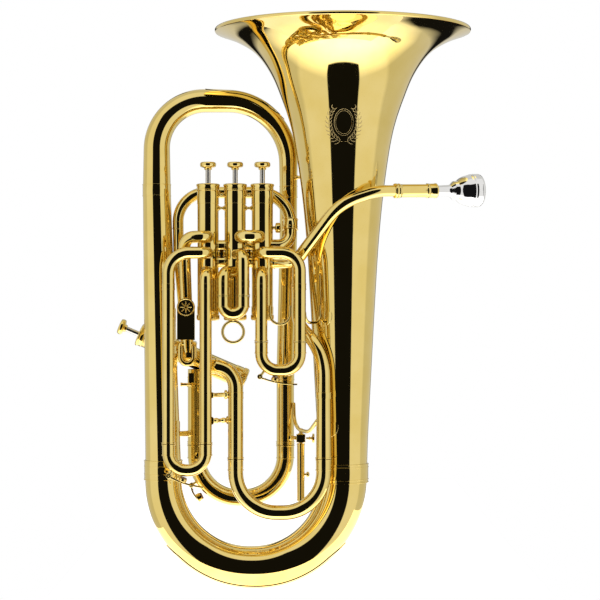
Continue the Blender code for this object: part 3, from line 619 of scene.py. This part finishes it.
# Slides
def make_slide_bow(name, body, nodes, radius, leg_r, bend, guide=13.0, swell=0.0):
    """A pull-out bow: inner legs, a ferrule on each leg, and the bright crook.

    radius is the frame's, and swell is how much fuller the crook is drawn.
    """
    low, high = extent(nodes[0])
    joint_z = extent(nodes[1])[0].z - 0.35
    reach = radius * (TEN if radius > 9 else EIGHT)
    half = (high.x - low.x) / 2 - reach
    mid, y, bow_z = (low.x + high.x) / 2, (low.y + high.y) / 2, low.z + reach
    radius += swell
    bow = Piece(name)
    bow.tube(route([
        (mid - half, y, joint_z, 0), (mid - half, y, bow_z, bend), (mid + half, y, bow_z, bend),
        (mid + half, y, joint_z, 0),
    ]), radius)
    for side in (-1, 1):
        at = Vector((mid + side * half, y, joint_z))
        bow.tube([at - UP * 4, Vector((at.x, y, high.z))], leg_r)
        bow.ring(at - UP * guide, UP, radius - 0.4, radius + 0.22, guide, 0.2)
        bow.ring(at - UP * 1.7, UP, leg_r, radius + 0.95, 1.6, 0.75)
        bow.ring(at - UP * (guide + 0.4), UP, radius - 0.3, radius + 0.85, 1.5, 0.7)
    bow.ride(body, nodes[0])


def sleeve_rings(piece, at, radius, ferrule_z):
    """The beads at a sleeve's mouth, and the ferrule where it meets its crook."""
    piece.ring(at, UP, radius - 0.6, radius + 1.0, 1.7, 0.8)
    piece.ferrule((at.x, at.y, ferrule_z), UP, radius, 7.5, 0.5)


def make_valve_slide(number, legs, bend, ferrule_z):
    """The two sleeves of a valve slide and its bow. A leg is the route from the valve's port."""
    frame_r, swell = 6.4, 0.7
    nodes = (f"slide_{number}_bow", f"slide_{number}_sleeves")
    low_z = extent(nodes[1])[0].z
    sleeves = Piece(f"slide_{number}_sleeve_tubes")
    for leg in legs:
        x, y = leg[-1][:2]
        sleeves.tube(route([*leg, (x, y, low_z, 0)]), frame_r + swell)
        sleeve_rings(sleeves, Vector((x, y, low_z)), frame_r + swell, ferrule_z)
    sleeves.ride("instrument", nodes[1])
    make_slide_bow(f"slide_{number}_crook", f"slide_{number}", nodes, frame_r, 5.2, bend, swell=swell)


SLIDE_Y = middle("slide_1_bow").y
VALVE_X = {n: middle(f"valve_{n}_piston").x for n in (1, 2, 3)}
VALVE_Y = middle("valve_1_piston").y
CASING_R = 12.4
PORTS = (373.0, 395.0, 414.0)     # heights of the windways in front of the valves
KNUCKLES = (385.0, 404.0)         # and of those between them


def legs_of(number):
    """X of the left and right legs of a slide's bow."""
    low, high = extent(f"slide_{number}_bow")
    reach = (8.6 if number == 4 else 6.3) * EIGHT
    return low.x + reach, high.x - reach


def make_slides():
    start_y = VALVE_Y - CASING_R + 1.5
    low_port, high_port = PORTS[:2]
    left, right = legs_of(1)
    make_valve_slide(1, [
        [(VALVE_X[1], start_y, low_port, 0), (left, SLIDE_Y, low_port, 12)],
        [(VALVE_X[1], start_y, high_port, 0), (VALVE_X[1], SLIDE_Y, high_port, 9),
         (right, SLIDE_Y, high_port, 21)],
    ], 19.0, 352.0)
    left, right = legs_of(2)
    make_valve_slide(2, [
        [(VALVE_X[2] - 3.6, start_y, low_port, 0), (left, SLIDE_Y, low_port, 11)],
        [(VALVE_X[2] + 2.9, start_y, 393.5, 0), (right, SLIDE_Y, 393.5, 11)],
    ], 11.0, 355.0)
    left, right = legs_of(3)
    make_valve_slide(3, [
        [(VALVE_X[3], start_y, high_port, 0), (VALVE_X[3], SLIDE_Y, high_port, 9),
         (left, SLIDE_Y, high_port, 24)],
        [(VALVE_X[3], start_y, low_port, 0), (right, SLIDE_Y, low_port, 12)],
    ], 20.0, 352.0)
    make_fourth_slide()
    make_main_slide()
    make_slide_wires()


def make_fourth_slide():
    """The long slide of the side valve, and its return behind the valves to valve 3."""
    left, right = legs_of(4)
    y = middle("slide_4_bow").y
    joint_z = extent("slide_4_sleeve")[0].z
    radius, elbow_z, back_z, ferrule_z = 8.8, 263.5, 395.0, 226.0
    sleeve = Piece("slide_4_sleeve_tube")
    sleeve.tube(route([
        (-60, 28, elbow_z, 0), (-60, y + 2, elbow_z, 14), (left, y, elbow_z, 25), (left, y, joint_z, 0),
    ]), radius)
    sleeve_rings(sleeve, Vector((left, y, joint_z)), radius, ferrule_z)
    sleeve.ride("instrument", "slide_4_sleeve")
    back = Piece("slide_4_return_tube")
    back.tube(route([
        (right, y, joint_z, 0), (right, y, 279, 60), (47, -16, 313, 30), (47, -6, 356, 0),
    ]), radius, 7.0)
    back.tube(route([
        (47, -6.5, 354, 0), (47, 3, back_z, 18), (VALVE_X[3], 3, back_z, 9), (VALVE_X[3], -11, back_z, 0),
    ]), 6.9, 6.6)
    back.ferrule((47, -7.2, 351), (0, 0.22, 1), 7.0, 8.0, 0.6)
    sleeve_rings(back, Vector((right, y, joint_z)), radius, ferrule_z)
    back.ride("instrument", "slide_4_return")
    make_slide_bow("slide_4_crook", "slide_4", ("slide_4_bow", "slide_4_sleeve"), 8.6, 7.2, 47.0)


def make_main_slide():
    low, high = extent("main_slide_sleeve")
    foot, length = Vector((MAIN_LEFT_X, MAIN_Y, low.z)), high.z - low.z
    sleeve = Piece("main_slide_sleeve_tube")
    sleeve.tube([foot, foot + UP * (length - 6)], MAIN_SLEEVE_R)
    sleeve.ferrule(foot, UP, MAIN_SLEEVE_R, 4.0, 0.7)
    sleeve.ferrule(foot + UP * (length - 24), UP, MAIN_SLEEVE_R, 9.0, 0.6)
    sleeve.ride("instrument", "main_slide_sleeve")
    nodes = ("main_tuning_slide", "main_slide_sleeve")
    make_slide_bow("main_slide_crook", "main_slide", nodes, MAIN_CROOK_R, 8.9, 50.0, 16.0)


def hanging_wire(piece, start, end, drop, bend, radius=1.6):
    """A U-shaped wire brace between two points."""
    low = min(start[2], end[2]) - drop
    piece.wire(route([
        (*start, 0), (start[0], start[1], low, bend), (end[0], end[1], low, bend), (*end, 0),
    ], 10), radius)


def make_slide_wires():
    """The bent wire braces and turned stays that tie the slides together."""
    left_1, right_1 = legs_of(1)
    right_3 = legs_of(3)[1]
    left_4, right_4 = legs_of(4)
    front_4 = middle("slide_4_bow").y
    wires = Piece("wire_braces")
    hanging_wire(wires, (left_1 + 10.0, SLIDE_Y + 3, 334), (left_1 + 33.5, SLIDE_Y + 3, 334), 21.5, 11.5)
    hanging_wire(wires, (right_1 + 6.0, SLIDE_Y + 3, 326), (BELL_X - 27, -26.0, 334), 12, 11.0)
    wires.wire(route([
        (MAIN_RIGHT_X + 10.0, 28.0, 217, 0), (MAIN_RIGHT_X + 11.0, 20.0, 187, 24), (60, -12.0, 185, 30),
        (right_4 - 7.5, front_4 + 2, 200, 0),
    ], 8), 2.2)
    wires.stay((right_3 + 6.8, SLIDE_Y, 230.5), (left_4 - 8.6, front_4, 230.5), 2.6, 3.6)
    wires.ring((left_4 - 13.0, front_4, 230.5), RIGHT, 1.0, 5.4, 3.4, 1.0)
    wires.baluster((right_3 + 6.8, SLIDE_Y, 201.0), (left_4 - 8.6, front_4, 201.0), 1.5, 3.2, 4.6)
    wires.stay((-98.0, 13.7, 181.0), (-82.0, 28.1, 181.0), 3.3, 4.4)
    wires.ride("instrument")
    make_side_bracket()


def make_side_bracket():
    """The little looped windway and the plate brace above the main slide, below the hand plate."""
    bracket = Piece("side_loop")
    left, right, front = -90.0, -74.4, -24.0
    bracket.tube(route([
        (left + 1, 8, 289, 0), (left, front, 289, 5), (left, front, 266, 7.6), (right, front, 266, 7.6),
        (right, front, 289, 5), (right - 1, 8, 289, 0),
    ], 10), 3.3, 3.3, 0.6, 24)
    middle_x = (left + right) / 2
    bracket.stay((left + 2, front, 290), (right - 2, front, 290), 2.2, 3.3)
    bracket.slab(3.6, 6.0, 2.4, (middle_x + 3, 10.0, 248), 0.5)
    bracket.ring((MAIN_LEFT_X, middle("main_slide_sleeve").y, 236), UP, 10.2, 11.6, 4.5, 0.8)
    bracket.stay((middle_x - 10, 12.0, 240), (middle_x + 3, 12.0, 240), 1.8, 2.6)
    bracket.slab(3.2, 3.2, 3.0, (middle_x + 1.5, front - 1.5, 276), 0.6)
    bracket.ride("instrument")


# Valves
def valve_line(number):
    """(foot, axis, casing length) of a valve, from its caps."""
    low, high = middle(f"valve_{number}_bottom_cap"), middle(f"valve_{number}_top_cap")
    axis = (high - low).normalized()
    return low - axis * 0.5, axis, (high - low).length + 0.9


def knurl(piece, foot, axis, radius, length, count=44):
    """Fine upright ridges round a cap."""
    first, second = square_to(axis)
    sides = count * 4
    loops = []
    for height in (0.0, 0.3, length - 0.3, length):
        ends = height in (0.0, length)
        loop = []
        for i in range(sides):
            a = 2 * math.pi * i / sides
            rise = 0.0 if ends else (0.28, 0.42, 0.28, 0.0)[i % 4]
            out = first * math.cos(a) + second * math.sin(a)
            loop.append(piece.bm.verts.new(Vector(foot) + Vector(axis) * height + out * (radius + rise)))
        loops.append(loop)
    piece.skin(loops, closed=False)


def make_valve(number):
    foot, axis, length = valve_line(number)
    casing = Piece(f"valve_{number}_casing_tube")
    casing.turned([(CASING_R, 0), (CASING_R, length), (10.8, length), (10.8, 0)],
                  foot, axis, 56, closed=True)
    bands = ((length - 19.0, 0.35, 14.2, 0.3), (length - 19.9, 0.6, 1.0, 0.4), (4.6, 0.5, 9.0, 0.4))
    for at, proud, height, soft in bands:
        casing.ring(foot + axis * at, axis, CASING_R - 0.2, CASING_R + proud, height, soft, 56)
    casing.ride("instrument", f"valve_{number}_casing")

    top = Piece(f"valve_{number}_top_cap_turned")
    top.turned([
        (3.7, 0.4), (3.7, 3.6), (4.6, 4.2), (9.0, 3.9), (12.0, 3.9), (13.3, 3.5), (13.9, 2.7), (13.9, 1.5),
        (13.4, 0.7), (13.1, 0), (13.1, -2.6), (13.4, -2.9), (13.4, -3.9), (13.1, -4.3), (12.7, -4.5),
        (12.5, 0.4),
    ], foot + axis * length, axis, 56, closed=True)
    top.ride("instrument", f"valve_{number}_top_cap", crease=40)

    bottom = Piece(f"valve_{number}_bottom_cap_turned")
    bottom.turned([
        (2.0, -0.4), (12.5, -0.4), (12.5, 4.0), (12.9, 4.0), (13.2, 3.6), (13.2, -1.5), (12.6, -2.3),
        (11.4, -2.9), (8.0, -3.3), (7.2, -3.0), (4.0, -2.9), (2.6, -3.6), (2.0, -3.6),
    ], foot, axis, 56, closed=True)
    knurl(bottom, foot - axis * 1.2, axis, 13.05, 4.6)
    bottom.ride("instrument", f"valve_{number}_bottom_cap")
    make_piston(number, foot, axis, length)


def make_piston(number, foot, axis, length):
    """The piston with its stem, and the finger button on the stem."""
    body, head = f"valve_{number}", length - 10.5
    piston = Piece(f"valve_{number}_piston_turned", NICKEL)
    piston.turned([
        (0, length + 26.3), (2.6, length + 26.3), (3.0, length + 25.9), (3.0, head + 2), (9.4, head + 0.6),
        (10.0, head), (10.0, 32.8), (9.2, 32.8), (9.2, head - 2.5), (0, head - 2.5),
    ], foot, axis, 48)
    piston.ride(body, f"valve_{number}_piston")
    button = Piece(f"valve_{number}_button_turned")
    button.turned([
        (0, 6.9), (5.4, 7.0), (7.0, 7.4), (8.2, 7.1), (9.1, 6.2), (9.4, 5.0), (9.4, 3.2), (9.0, 2.1),
        (7.8, 1.3), (5.4, 0.7), (4.4, 0), (4.4, -1.6), (3.4, -2.0), (3.4, 4.9), (0, 4.9),
    ], foot + axis * (length + 22.0), axis, 48)
    button.ride(body, f"valve_{number}_button", crease=40)
    make_spring(number, foot, axis)


def make_spring(number, foot, axis):
    """The return spring, drawn at its rest length; a real one shortens as its valve goes down."""
    first, second = square_to(axis)
    turns, per_turn, low, high = 8, 20, 0.9, 31.4
    points = []
    for i in range(turns * per_turn + 1):
        angle = 2 * math.pi * i / per_turn
        around = (first * math.cos(angle) + second * math.sin(angle)) * 7.4
        points.append(foot + axis * (low + (high - low) * i / (turns * per_turn)) + around)
    spring = Piece(f"valve_{number}_spring_coil", STEEL)
    made = spring.wire(points, 0.6, 8).ride("instrument", f"valve_{number}_spring")
    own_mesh(made)


def make_valve_braces():
    """Rods and windways between neighbouring valves."""
    for left, right in ((3, 2), (2, 1)):
        x0, x1 = VALVE_X[left], VALVE_X[right]
        knuckles = Piece(f"knuckle_tubes_{right}_{left}")
        for height in KNUCKLES:
            knuckles.tube([Vector((x0 + 9.5, VALVE_Y, height)), Vector((x1 - 9.5, VALVE_Y, height))], 6.6)
            for x in (x0 + 11.2, x1 - 12.6):
                knuckles.ring((x, VALVE_Y, height), RIGHT, 6.0, 7.3, 1.4, 0.5)
        knuckles.turned([(0, 0), (3.4, 0), (3.9, 0.8), (3.9, 3.0), (3.0, 3.6), (2.4, 4.6), (0, 5.0)],
                        ((x0 + x1) / 2, VALVE_Y - 1.0, 394.5), FRONT, 24)
        knuckles.ride("instrument", f"knuckles_{right}_{left}")
        ties = Piece(f"casing_ties_{right}_{left}")
        start_x, end_x = x0 + CASING_R - 0.4, x1 - CASING_R + 0.4
        for height in (448.0, 463.5):
            ties.stay((start_x, VALVE_Y, height), (end_x, VALVE_Y, height), 1.6, 3.4)
        ties.ride("instrument")


def make_windways():
    """Bent tubes between the valves: crossover, branch to the side valve, arch and rear loops."""
    front = VALVE_Y - CASING_R + 1.5
    crossover = Piece("crossover_tube")
    crossover.tube(route([
        (-19.0, front, PORTS[2], 0), (-19.0, -48, PORTS[2], 9),
        (1.8, -48, PORTS[2], 9), (1.8, front, PORTS[2], 0),
    ]), 7.6)
    crossover.ride("instrument", "crossover_bow")

    branch = Piece("valve_3_to_4_tube")
    branch.tube(route([
        (VALVE_X[3], front, PORTS[2], 0), (VALVE_X[3], -48, PORTS[2], 9), (-85.0, -42, PORTS[2] - 1, 13),
        (-84.5, -29, 370, 30), (-81, -20, 272, 16), (-80, 26, 271.5, 0),
    ]), 7.2, 6.8)
    branch.ride("instrument", "valve_3_to_4_branch")

    arch = Piece("compensating_arch_tube")
    arch_z = 467.5
    arch.tube(route([
        (14, VALVE_Y, KNUCKLES[1], 0), (38.2, -16, KNUCKLES[1], 17), (38.2, 1, arch_z, 38),
        (-95, 1, arch_z, 34), (-94, 1, 396, 30), (-89, 24, 318, 30), (-88.2, 33, 292, 0),
    ]), 7.6, 5.6)
    lean = Vector((0, 17, arch_z - KNUCKLES[1])).normalized()
    coupling = Vector((38.2, -16, KNUCKLES[1])) + lean * 19.0
    arch.ferrule(coupling, lean, 8.0, 13.5, 1.3)
    arch.ring(coupling + lean * 3.4, lean, 7.4, 8.9, 1.2, 0.5)
    arch.ferrule((-94.8, 1, 424.0), (0.014, 0, 1), 5.9, 10.0, 0.6)
    knob = [(0, 0), (2.0, 0), (2.0, 3.4), (5.4, 4.2), (6.0, 5.2), (6.0, 8.6), (5.2, 9.6), (3.0, 10.0),
            (0, 10.2)]
    arch.turned(knob, (VALVE_X[1] + CASING_R - 1, VALVE_Y + 3, 425.0), RIGHT, 32)
    arch.ride("instrument", "compensating_arch")

    for number in (1, 2, 3):
        low, high = extent(f"compensating_loop_{number}")
        reach = 5.2 * EIGHT
        x, depth = VALVE_X[number], high.y - 5.2
        bottom, top = low.z + reach, high.z - reach
        loop = Piece(f"compensating_loop_{number}_tube")
        loop.tube(route([
            (x, VALVE_Y + 10.5, bottom, 0), (x, depth, bottom, 11),
            (x, depth, top, 11), (x, VALVE_Y + 10.5, top, 0),
        ]), 5.2)
        for height in (bottom, top):
            loop.ring((x, VALVE_Y + CASING_R, height), BACK, 4.6, 5.9, 1.6, 0.5)
        loop.ride("instrument", f"compensating_loop_{number}")


# Leadpipe, mouthpiece, ring, plate, rod and keys
RECEIVER_AXIS = Vector(joint("mouthpiece_pull")["axis"]).normalized()
RECEIVER_LENGTH = 53.0
RECEIVER_FOOT = middle("mouthpiece_receiver") - RECEIVER_AXIS * RECEIVER_LENGTH / 2


def make_leadpipe():
    pipe = Piece("leadpipe_tube")
    pipe.tube(route([
        (15, VALVE_Y, KNUCKLES[0], 0), (44, -30, KNUCKLES[0] - 1, 24), (94.7, -58.5, 451.8, 60),
        (*(RECEIVER_FOOT - RECEIVER_AXIS * 22), 60), (*(RECEIVER_FOOT + RECEIVER_AXIS * 0.5), 0),
    ], 4), 7.3, 6.6)
    pipe.ring((VALVE_X[1] + CASING_R - 0.5, VALVE_Y - 1, KNUCKLES[0]), (1, -0.1, 0), 6.8, 8.1, 3.0, 0.7)
    pipe.ride("instrument", "leadpipe")
    receiver = Piece("receiver_turned")
    end = RECEIVER_LENGTH
    receiver.turned([
        (6.2, -0.8), (7.9, -0.8), (8.6, 0), (8.7, 1.6), (8.2, 2.4), (8.0, 3.2), (8.6, 4.0), (8.6, 5.2),
        (7.8, 6.2), (7.7, 8.0), (7.7, end - 14.5), (7.9, end - 13.6), (8.6, end - 12.8), (8.6, end - 11.4),
        (8.1, end - 10.6), (8.3, end - 9.8), (8.3, end - 3.4), (8.8, end - 2.8), (8.8, end - 1.4),
        (7.9, end - 0.3), (6.6, end), (6.0, end - 4), (5.2, end - 30), (5.0, 0),
    ], RECEIVER_FOOT, RECEIVER_AXIS, 56, closed=True)
    receiver.ride("instrument", "mouthpiece_receiver", crease=40)


def make_mouthpiece():
    foot = RECEIVER_FOOT + RECEIVER_AXIS * (RECEIVER_LENGTH - 28.0)
    top = 83.0
    outside = smooth_curve([(4.7, 0), (5.9, 28), (6.3, 36), (6.5, 41), (7.0, 44.5)], 4)[:-1]
    outside += [(7.0, 44.5), (7.2, 44.9), (10.8, 48.5), (11.0, 48.9), (11.5, 53.0)]
    outside += smooth_curve([(11.6, 53.2), (14.4, 56.8), (16.6, 61.2), (17.7, 65.4), (18.6, 68.8)], 4)[:-1]
    outside += [(18.8, 69.4), (19.1, 69.9), (19.2, 70.6), (18.8, 71.4), (18.9, 72.0), (19.3, 72.8),
                (19.5, 73.8)]
    outside += arc((17.0, top - 3.2), 2.5, -20, 50, 6) + arc((16.6, top - 2.6), 2.6, 40, 60, 7)
    inside = arc((14.6, top - 1.2), 1.2, 80, 100, 6)
    inside += smooth_curve([(13.3, top - 2.2), (12.7, top - 7), (11.8, top - 14), (10.0, top - 21),
                            (6.8, top - 29),
                            (4.2, top - 35), (3.4, top - 41)], 4)
    inside += [(4.0, 0)]
    mouthpiece = Piece("mouthpiece_turned", SILVER)
    mouthpiece.turned(outside + inside, foot, RECEIVER_AXIS, 72, closed=True)
    mouthpiece.ride("mouthpiece", "mouthpiece", crease=50)


def make_pull_ring():
    at = middle("pull_ring")
    bow_low = extent("slide_2_bow")[0].z
    ring = Piece("pull_ring_wire")
    profile = [(12.2 + x, y) for x, y in arc((0, 0), 1.65, 0, 360, 17)[:-1]]
    ring.turned(profile, at, BACK, 72, closed=True)
    top = at + UP * 12.6
    rise = bow_low - top.z
    ring.turned([(0, 0), (1.7, 0), (2.2, 0.6), (1.8, 1.4), (3.4, rise + 0.3), (0, rise + 0.4)], top, UP, 20)
    ring.ride("slide_2", "pull_ring", crease=50)


def make_hand_plate():
    """The flat guard with its round badge and a plain rosette."""
    low, high = extent("hand_plate")
    half, mid = (high.x - low.x) / 2 - 0.2, (low.x + high.x) / 2
    front = low.y + 2.2
    top_z = high.z - 14.0
    outline = [(-half, low.z), (half, low.z)] + arc((half - 1, top_z - 1), 1, 0, 90, 5)
    outline += arc((-half + 1, top_z - 1), 1, 90, 90, 5)
    plate = Piece("hand_plate_sheet")
    plate.plate(outline, 1.2, (mid, front, 0), RIGHT, UP, 0.3)
    plate.ring((mid, front - 0.5, low.z + 0.2), UP, 0.0001, 0.9, 0.6)
    badge = Vector((mid, front - 0.4, high.z - 12.0))
    plate.turned([(10.6, 0), (10.6, 1.0), (10.3, 1.5), (9.7, 1.7), (9.2, 1.5), (8.9, 1.1), (7.0, 1.1),
                  (0, 1.3)], badge, FRONT, 64)
    for i in range(8):
        turn = math.radians(45 * i)
        out = RIGHT * math.cos(turn) + UP * math.sin(turn)
        ray = [badge + FRONT * lift + out * far for lift, far in ((1.3, 1.6), (1.6, 4.0), (1.2, 6.6))]
        plate.wire(ray, 0.6, 10)
    plate.turned([(0, 2.6), (1.2, 2.3), (1.6, 1.6), (1.6, 1.0), (0, 1.0)], badge, FRONT, 20)
    for height in (305.0, 333.0):
        plate.stay((mid, front + 0.3, height), (mid, front + 7.5, height), 1.8, 3.4)
    plate.ride("instrument", "hand_plate", crease=40)


def make_stop_rod():
    low, high = extent("stop_rod")
    x, y = middle("stop_rod").x, middle("stop_rod").y
    rod = Piece("stop_rod_turned")
    rod.turned([(0, 0), (3.6, 0), (4.6, 0.8), (4.7, 2.0), (4.4, 3.0), (4.4, 66.5), (4.8, 67.2), (4.8, 68.4),
                (4.2, 69.0), (2.2, 69.1), (2.2, high.z - low.z - 0.6), (1.6, high.z - low.z),
                (0, high.z - low.z)],
               (x, y, low.z), UP, 40)
    rod.turned([(0, 0), (1.4, 0), (1.4, 2.4), (3.0, 3.0), (3.3, 4.0), (3.0, 5.4), (1.6, 6.2), (0, 6.4)],
               (x + 4.0, y, low.z + 32.0), RIGHT, 24)
    rod.ride("stop_rod", "stop_rod")
    screw = Piece("clamp_screw_turned")
    foot = Vector((extent("clamp_screw")[0].x, y, middle("clamp_screw").z))
    screw.turned([(0, 0), (1.3, 0), (1.3, 3.2), (2.2, 3.8), (1.5, 4.8), (1.5, 6.2), (2.6, 6.8), (2.6, 7.4),
                  (0, 7.4)], foot, RIGHT, 24)
    paddle = [(u * 5.6, v * 5.6) for u, v in arc((0, 0), 1.0, 0, 360, 41)[:-1]]
    screw.plate(paddle, 2.6, foot + RIGHT * 8.6, BACK, UP, 0.6)
    screw.ride("clamp_screw", "clamp_screw")


def stub(half):
    """The outline of a short rounded barrel, from its middle."""
    return [(0, -half), (2.6, -half), (3.0, 0.4 - half), (3.0, half - 0.4), (2.6, half), (0, half)]


def make_water_key(number, body, along, length, pad_at, pad_rise, to_bow):
    """A drain key: lever, twin posts, pivot screw, pad cup with its cork, and the torsion spring."""
    name = f"water_key_{number}"
    pivot = Vector(joint(name + "_open")["pos_m"]) * 1000
    along = Vector(along).normalized()
    rise = Vector((-along.z, 0, along.x))
    key = Piece(name + "_lever")
    steps = [i / 14 for i in range(15)]
    lever = [(length * t, -0.9 - 1.8 * math.sin(math.pi * t) + 1.4 * t * t) for t in steps]
    top = [(u, h + 0.9) for u, h in lever]
    under = [(u, h - 0.9) for u, h in lever]
    key.plate(under + top[::-1], 5.4, pivot, along, rise, 0.4)
    key.turned(stub(2.6), pivot, BACK, 24)
    cup = pivot + along * pad_at - rise * 1.2
    key.turned([(0, 0), (4.2, 0), (4.8, 0.6), (4.8, pad_rise - 0.5), (4.3, pad_rise), (0, pad_rise)],
               cup, rise, 28)
    key.ride(name, name)
    cork = Piece(name + "_cork", CORK)
    cork.turned([(0, 0), (3.9, 0), (4.0, 0.3), (4.0, 1.3), (3.7, 1.6), (0, 1.6)],
                cup + rise * pad_rise, rise, 24)
    cork.ride(name)
    posts = Piece(name + "_posts")
    towards = Vector(to_bow).normalized()
    for side in (-1, 1):
        foot = pivot + BACK * side * 3.6
        arm = [foot + towards * far - BACK * side * lean for far, lean in ((-0.6, 0), (4.0, 0.6), (7.5, 1.2))]
        posts.wire(arm, 1.4, 12)
        posts.turned(stub(1.0), foot, BACK, 20)
    posts.ride(body)
    wire = Piece(name + "_spring", STEEL)
    first, second = square_to(BACK)
    coil = []
    for i in range(61):
        around = (first * math.cos(i * 0.63) + second * math.sin(i * 0.63)) * 2.8
        coil.append(pivot + BACK * (-2.4 + 4.8 * i / 60) + around)
    wire.wire([*coil, pivot + along * 7 + BACK * 1.2 - rise * 0.6], 0.28, 8)
    wire.ride(body)


def make_water_keys():
    make_water_key("1", "slide_1", (1, 0, -0.22), 44.0, 18.0, 3.4, (0.6, 0, 0.8))
    make_water_key("3", "slide_3", (1, 0, -0.35), 42.0, 17.0, 3.6, (0.6, 0, 0.8))
    make_water_key("main", "main_slide", (0.45, 0, -0.89), 22.0, 17.0, 5.6, (0.85, 0, 0.53))


# Studio
def calculate(tree, operation, first, second=0.0):
    """One math node on values or sockets."""
    node = tree.nodes.new("ShaderNodeMath")
    node.operation = operation
    for socket, value in zip(node.inputs, (first, second)):
        if isinstance(value, (int, float)):
            socket.default_value = value
        else:
            tree.links.new(value, socket)
    return node.outputs["Value"]


def make_studio():
    """A pale table that glows with a painted pool of light, an even white tent with a dark opening in front,
    and the camera.
    """
    table = Piece("table", make_glowing_table_surface())
    corners = [(-240, -60), (340, -60), (340, 1400), (-240, 1400)]
    table.bm.faces.new([table.bm.verts.new((x, y, -1.5)) for x, y in corners])
    table.build()
    make_tent()
    camera_data = bpy.data.cameras.new("camera")
    camera_data.sensor_width = 36.0
    camera_data.lens = 118.3
    camera_data.clip_end = 50
    camera = bpy.data.objects.new("camera", camera_data)
    camera.location = (0.0496, -2.33, 0.3404)
    camera.rotation_euler = (math.radians(90), 0, 0)
    bpy.context.scene.collection.objects.link(camera)
    bpy.context.scene.camera = camera
    bpy.context.scene.view_settings.view_transform = "Standard"


def make_glowing_table_surface():
    """White acrylic that glows with a painted pool of light, strongest under the instrument and fading with
    distance.
    """
    made, tree, principled = shader("table_acrylic_painted_glow", (0.93, 0.93, 0.93), 0.9, 0.0)
    bumped(tree, principled, noise(tree, 300.0, 2.0), 0.00005)
    place = tree.nodes.new("ShaderNodeTexCoord")
    distance = tree.nodes.new("ShaderNodeVectorMath")
    distance.operation = "LENGTH"
    tree.links.new(place.outputs["Object"], distance.inputs[0])
    # painted pool of light: the emission is strongest at the middle, under the instrument, and fades outwards
    painted_light_pool = spread(tree, distance.outputs["Value"], 1.5, 0.62, 0.05, 0.6)
    principled.inputs["Emission Color"].default_value = (1.0, 1.0, 1.0, 1.0)
    tree.links.new(painted_light_pool, principled.inputs["Emission Strength"])
    return made


def within(tree, *edges):
    """1 inside every soft edge and 0 outside. An edge is (value, where it starts, where it ends)."""
    inside = 1.0
    for value, start, end in edges:
        inside = calculate(tree, "MULTIPLY", spread(tree, value, 1.0, 0.0, start, end), inside)
    return inside


def make_tent():
    """World light: white all round, brighter below, with dark openings that polished metal mirrors."""
    world = bpy.data.worlds.new("tent")
    bpy.context.scene.world = world
    world.use_nodes = True
    tree = world.node_tree
    place = tree.nodes.new("ShaderNodeTexCoord")
    parts = tree.nodes.new("ShaderNodeSeparateXYZ")
    tree.links.new(place.outputs["Generated"], parts.inputs["Vector"])
    x, y, z = (parts.outputs[axis] for axis in "XYZ")

    ahead = calculate(tree, "MAXIMUM", calculate(tree, "MULTIPLY", y, -1.0), 0.001)
    across = calculate(tree, "ABSOLUTE", calculate(tree, "DIVIDE", x, ahead))
    height = calculate(tree, "DIVIDE", z, ahead)
    opening = within(tree, (across, 0.59, 0.63), (height, 0.92, 0.99), (height, -1.40, -1.50))

    behind = calculate(tree, "ABSOLUTE", calculate(tree, "ARCTAN2", x, y))
    inner, inner_end, outer, outer_end, side, side_end = map(math.radians, (14, 12, 19, 25, 88, 96))
    flank = within(tree, (behind, inner, inner_end), (behind, outer, outer_end),
                   (z, 0.70, 0.75), (z, -0.62, -0.68))

    panels = blend_colours(tree, spread(tree, behind, 1.0, 0.0, side, side_end),
                           (0.87, 0.87, 0.87), (0.66, 0.66, 0.64))
    lit = blend_colours(tree, spread(tree, z, 0.0, 1.0, -0.60, -0.97), panels, (2.9, 2.9, 2.9))
    dark = calculate(tree, "MAXIMUM", opening, flank)
    mirrored = blend_colours(tree, dark, lit, (0.007, 0.007, 0.008))
    seen = tree.nodes.new("ShaderNodeLightPath").outputs["Is Camera Ray"]
    backdrop = blend_colours(tree, seen, mirrored, (1.0, 1.0, 1.0))
    tree.links.new(backdrop, tree.nodes["Background"].inputs["Color"])


make_bell()
make_engraving_on_bell()
make_branches()
make_slides()
for valve in (1, 2, 3, 4):
    make_valve(valve)
make_valve_braces()
make_windways()
make_leadpipe()
make_mouthpiece()
make_pull_ring()
make_hand_plate()
make_stop_rod()
make_water_keys()
make_studio()
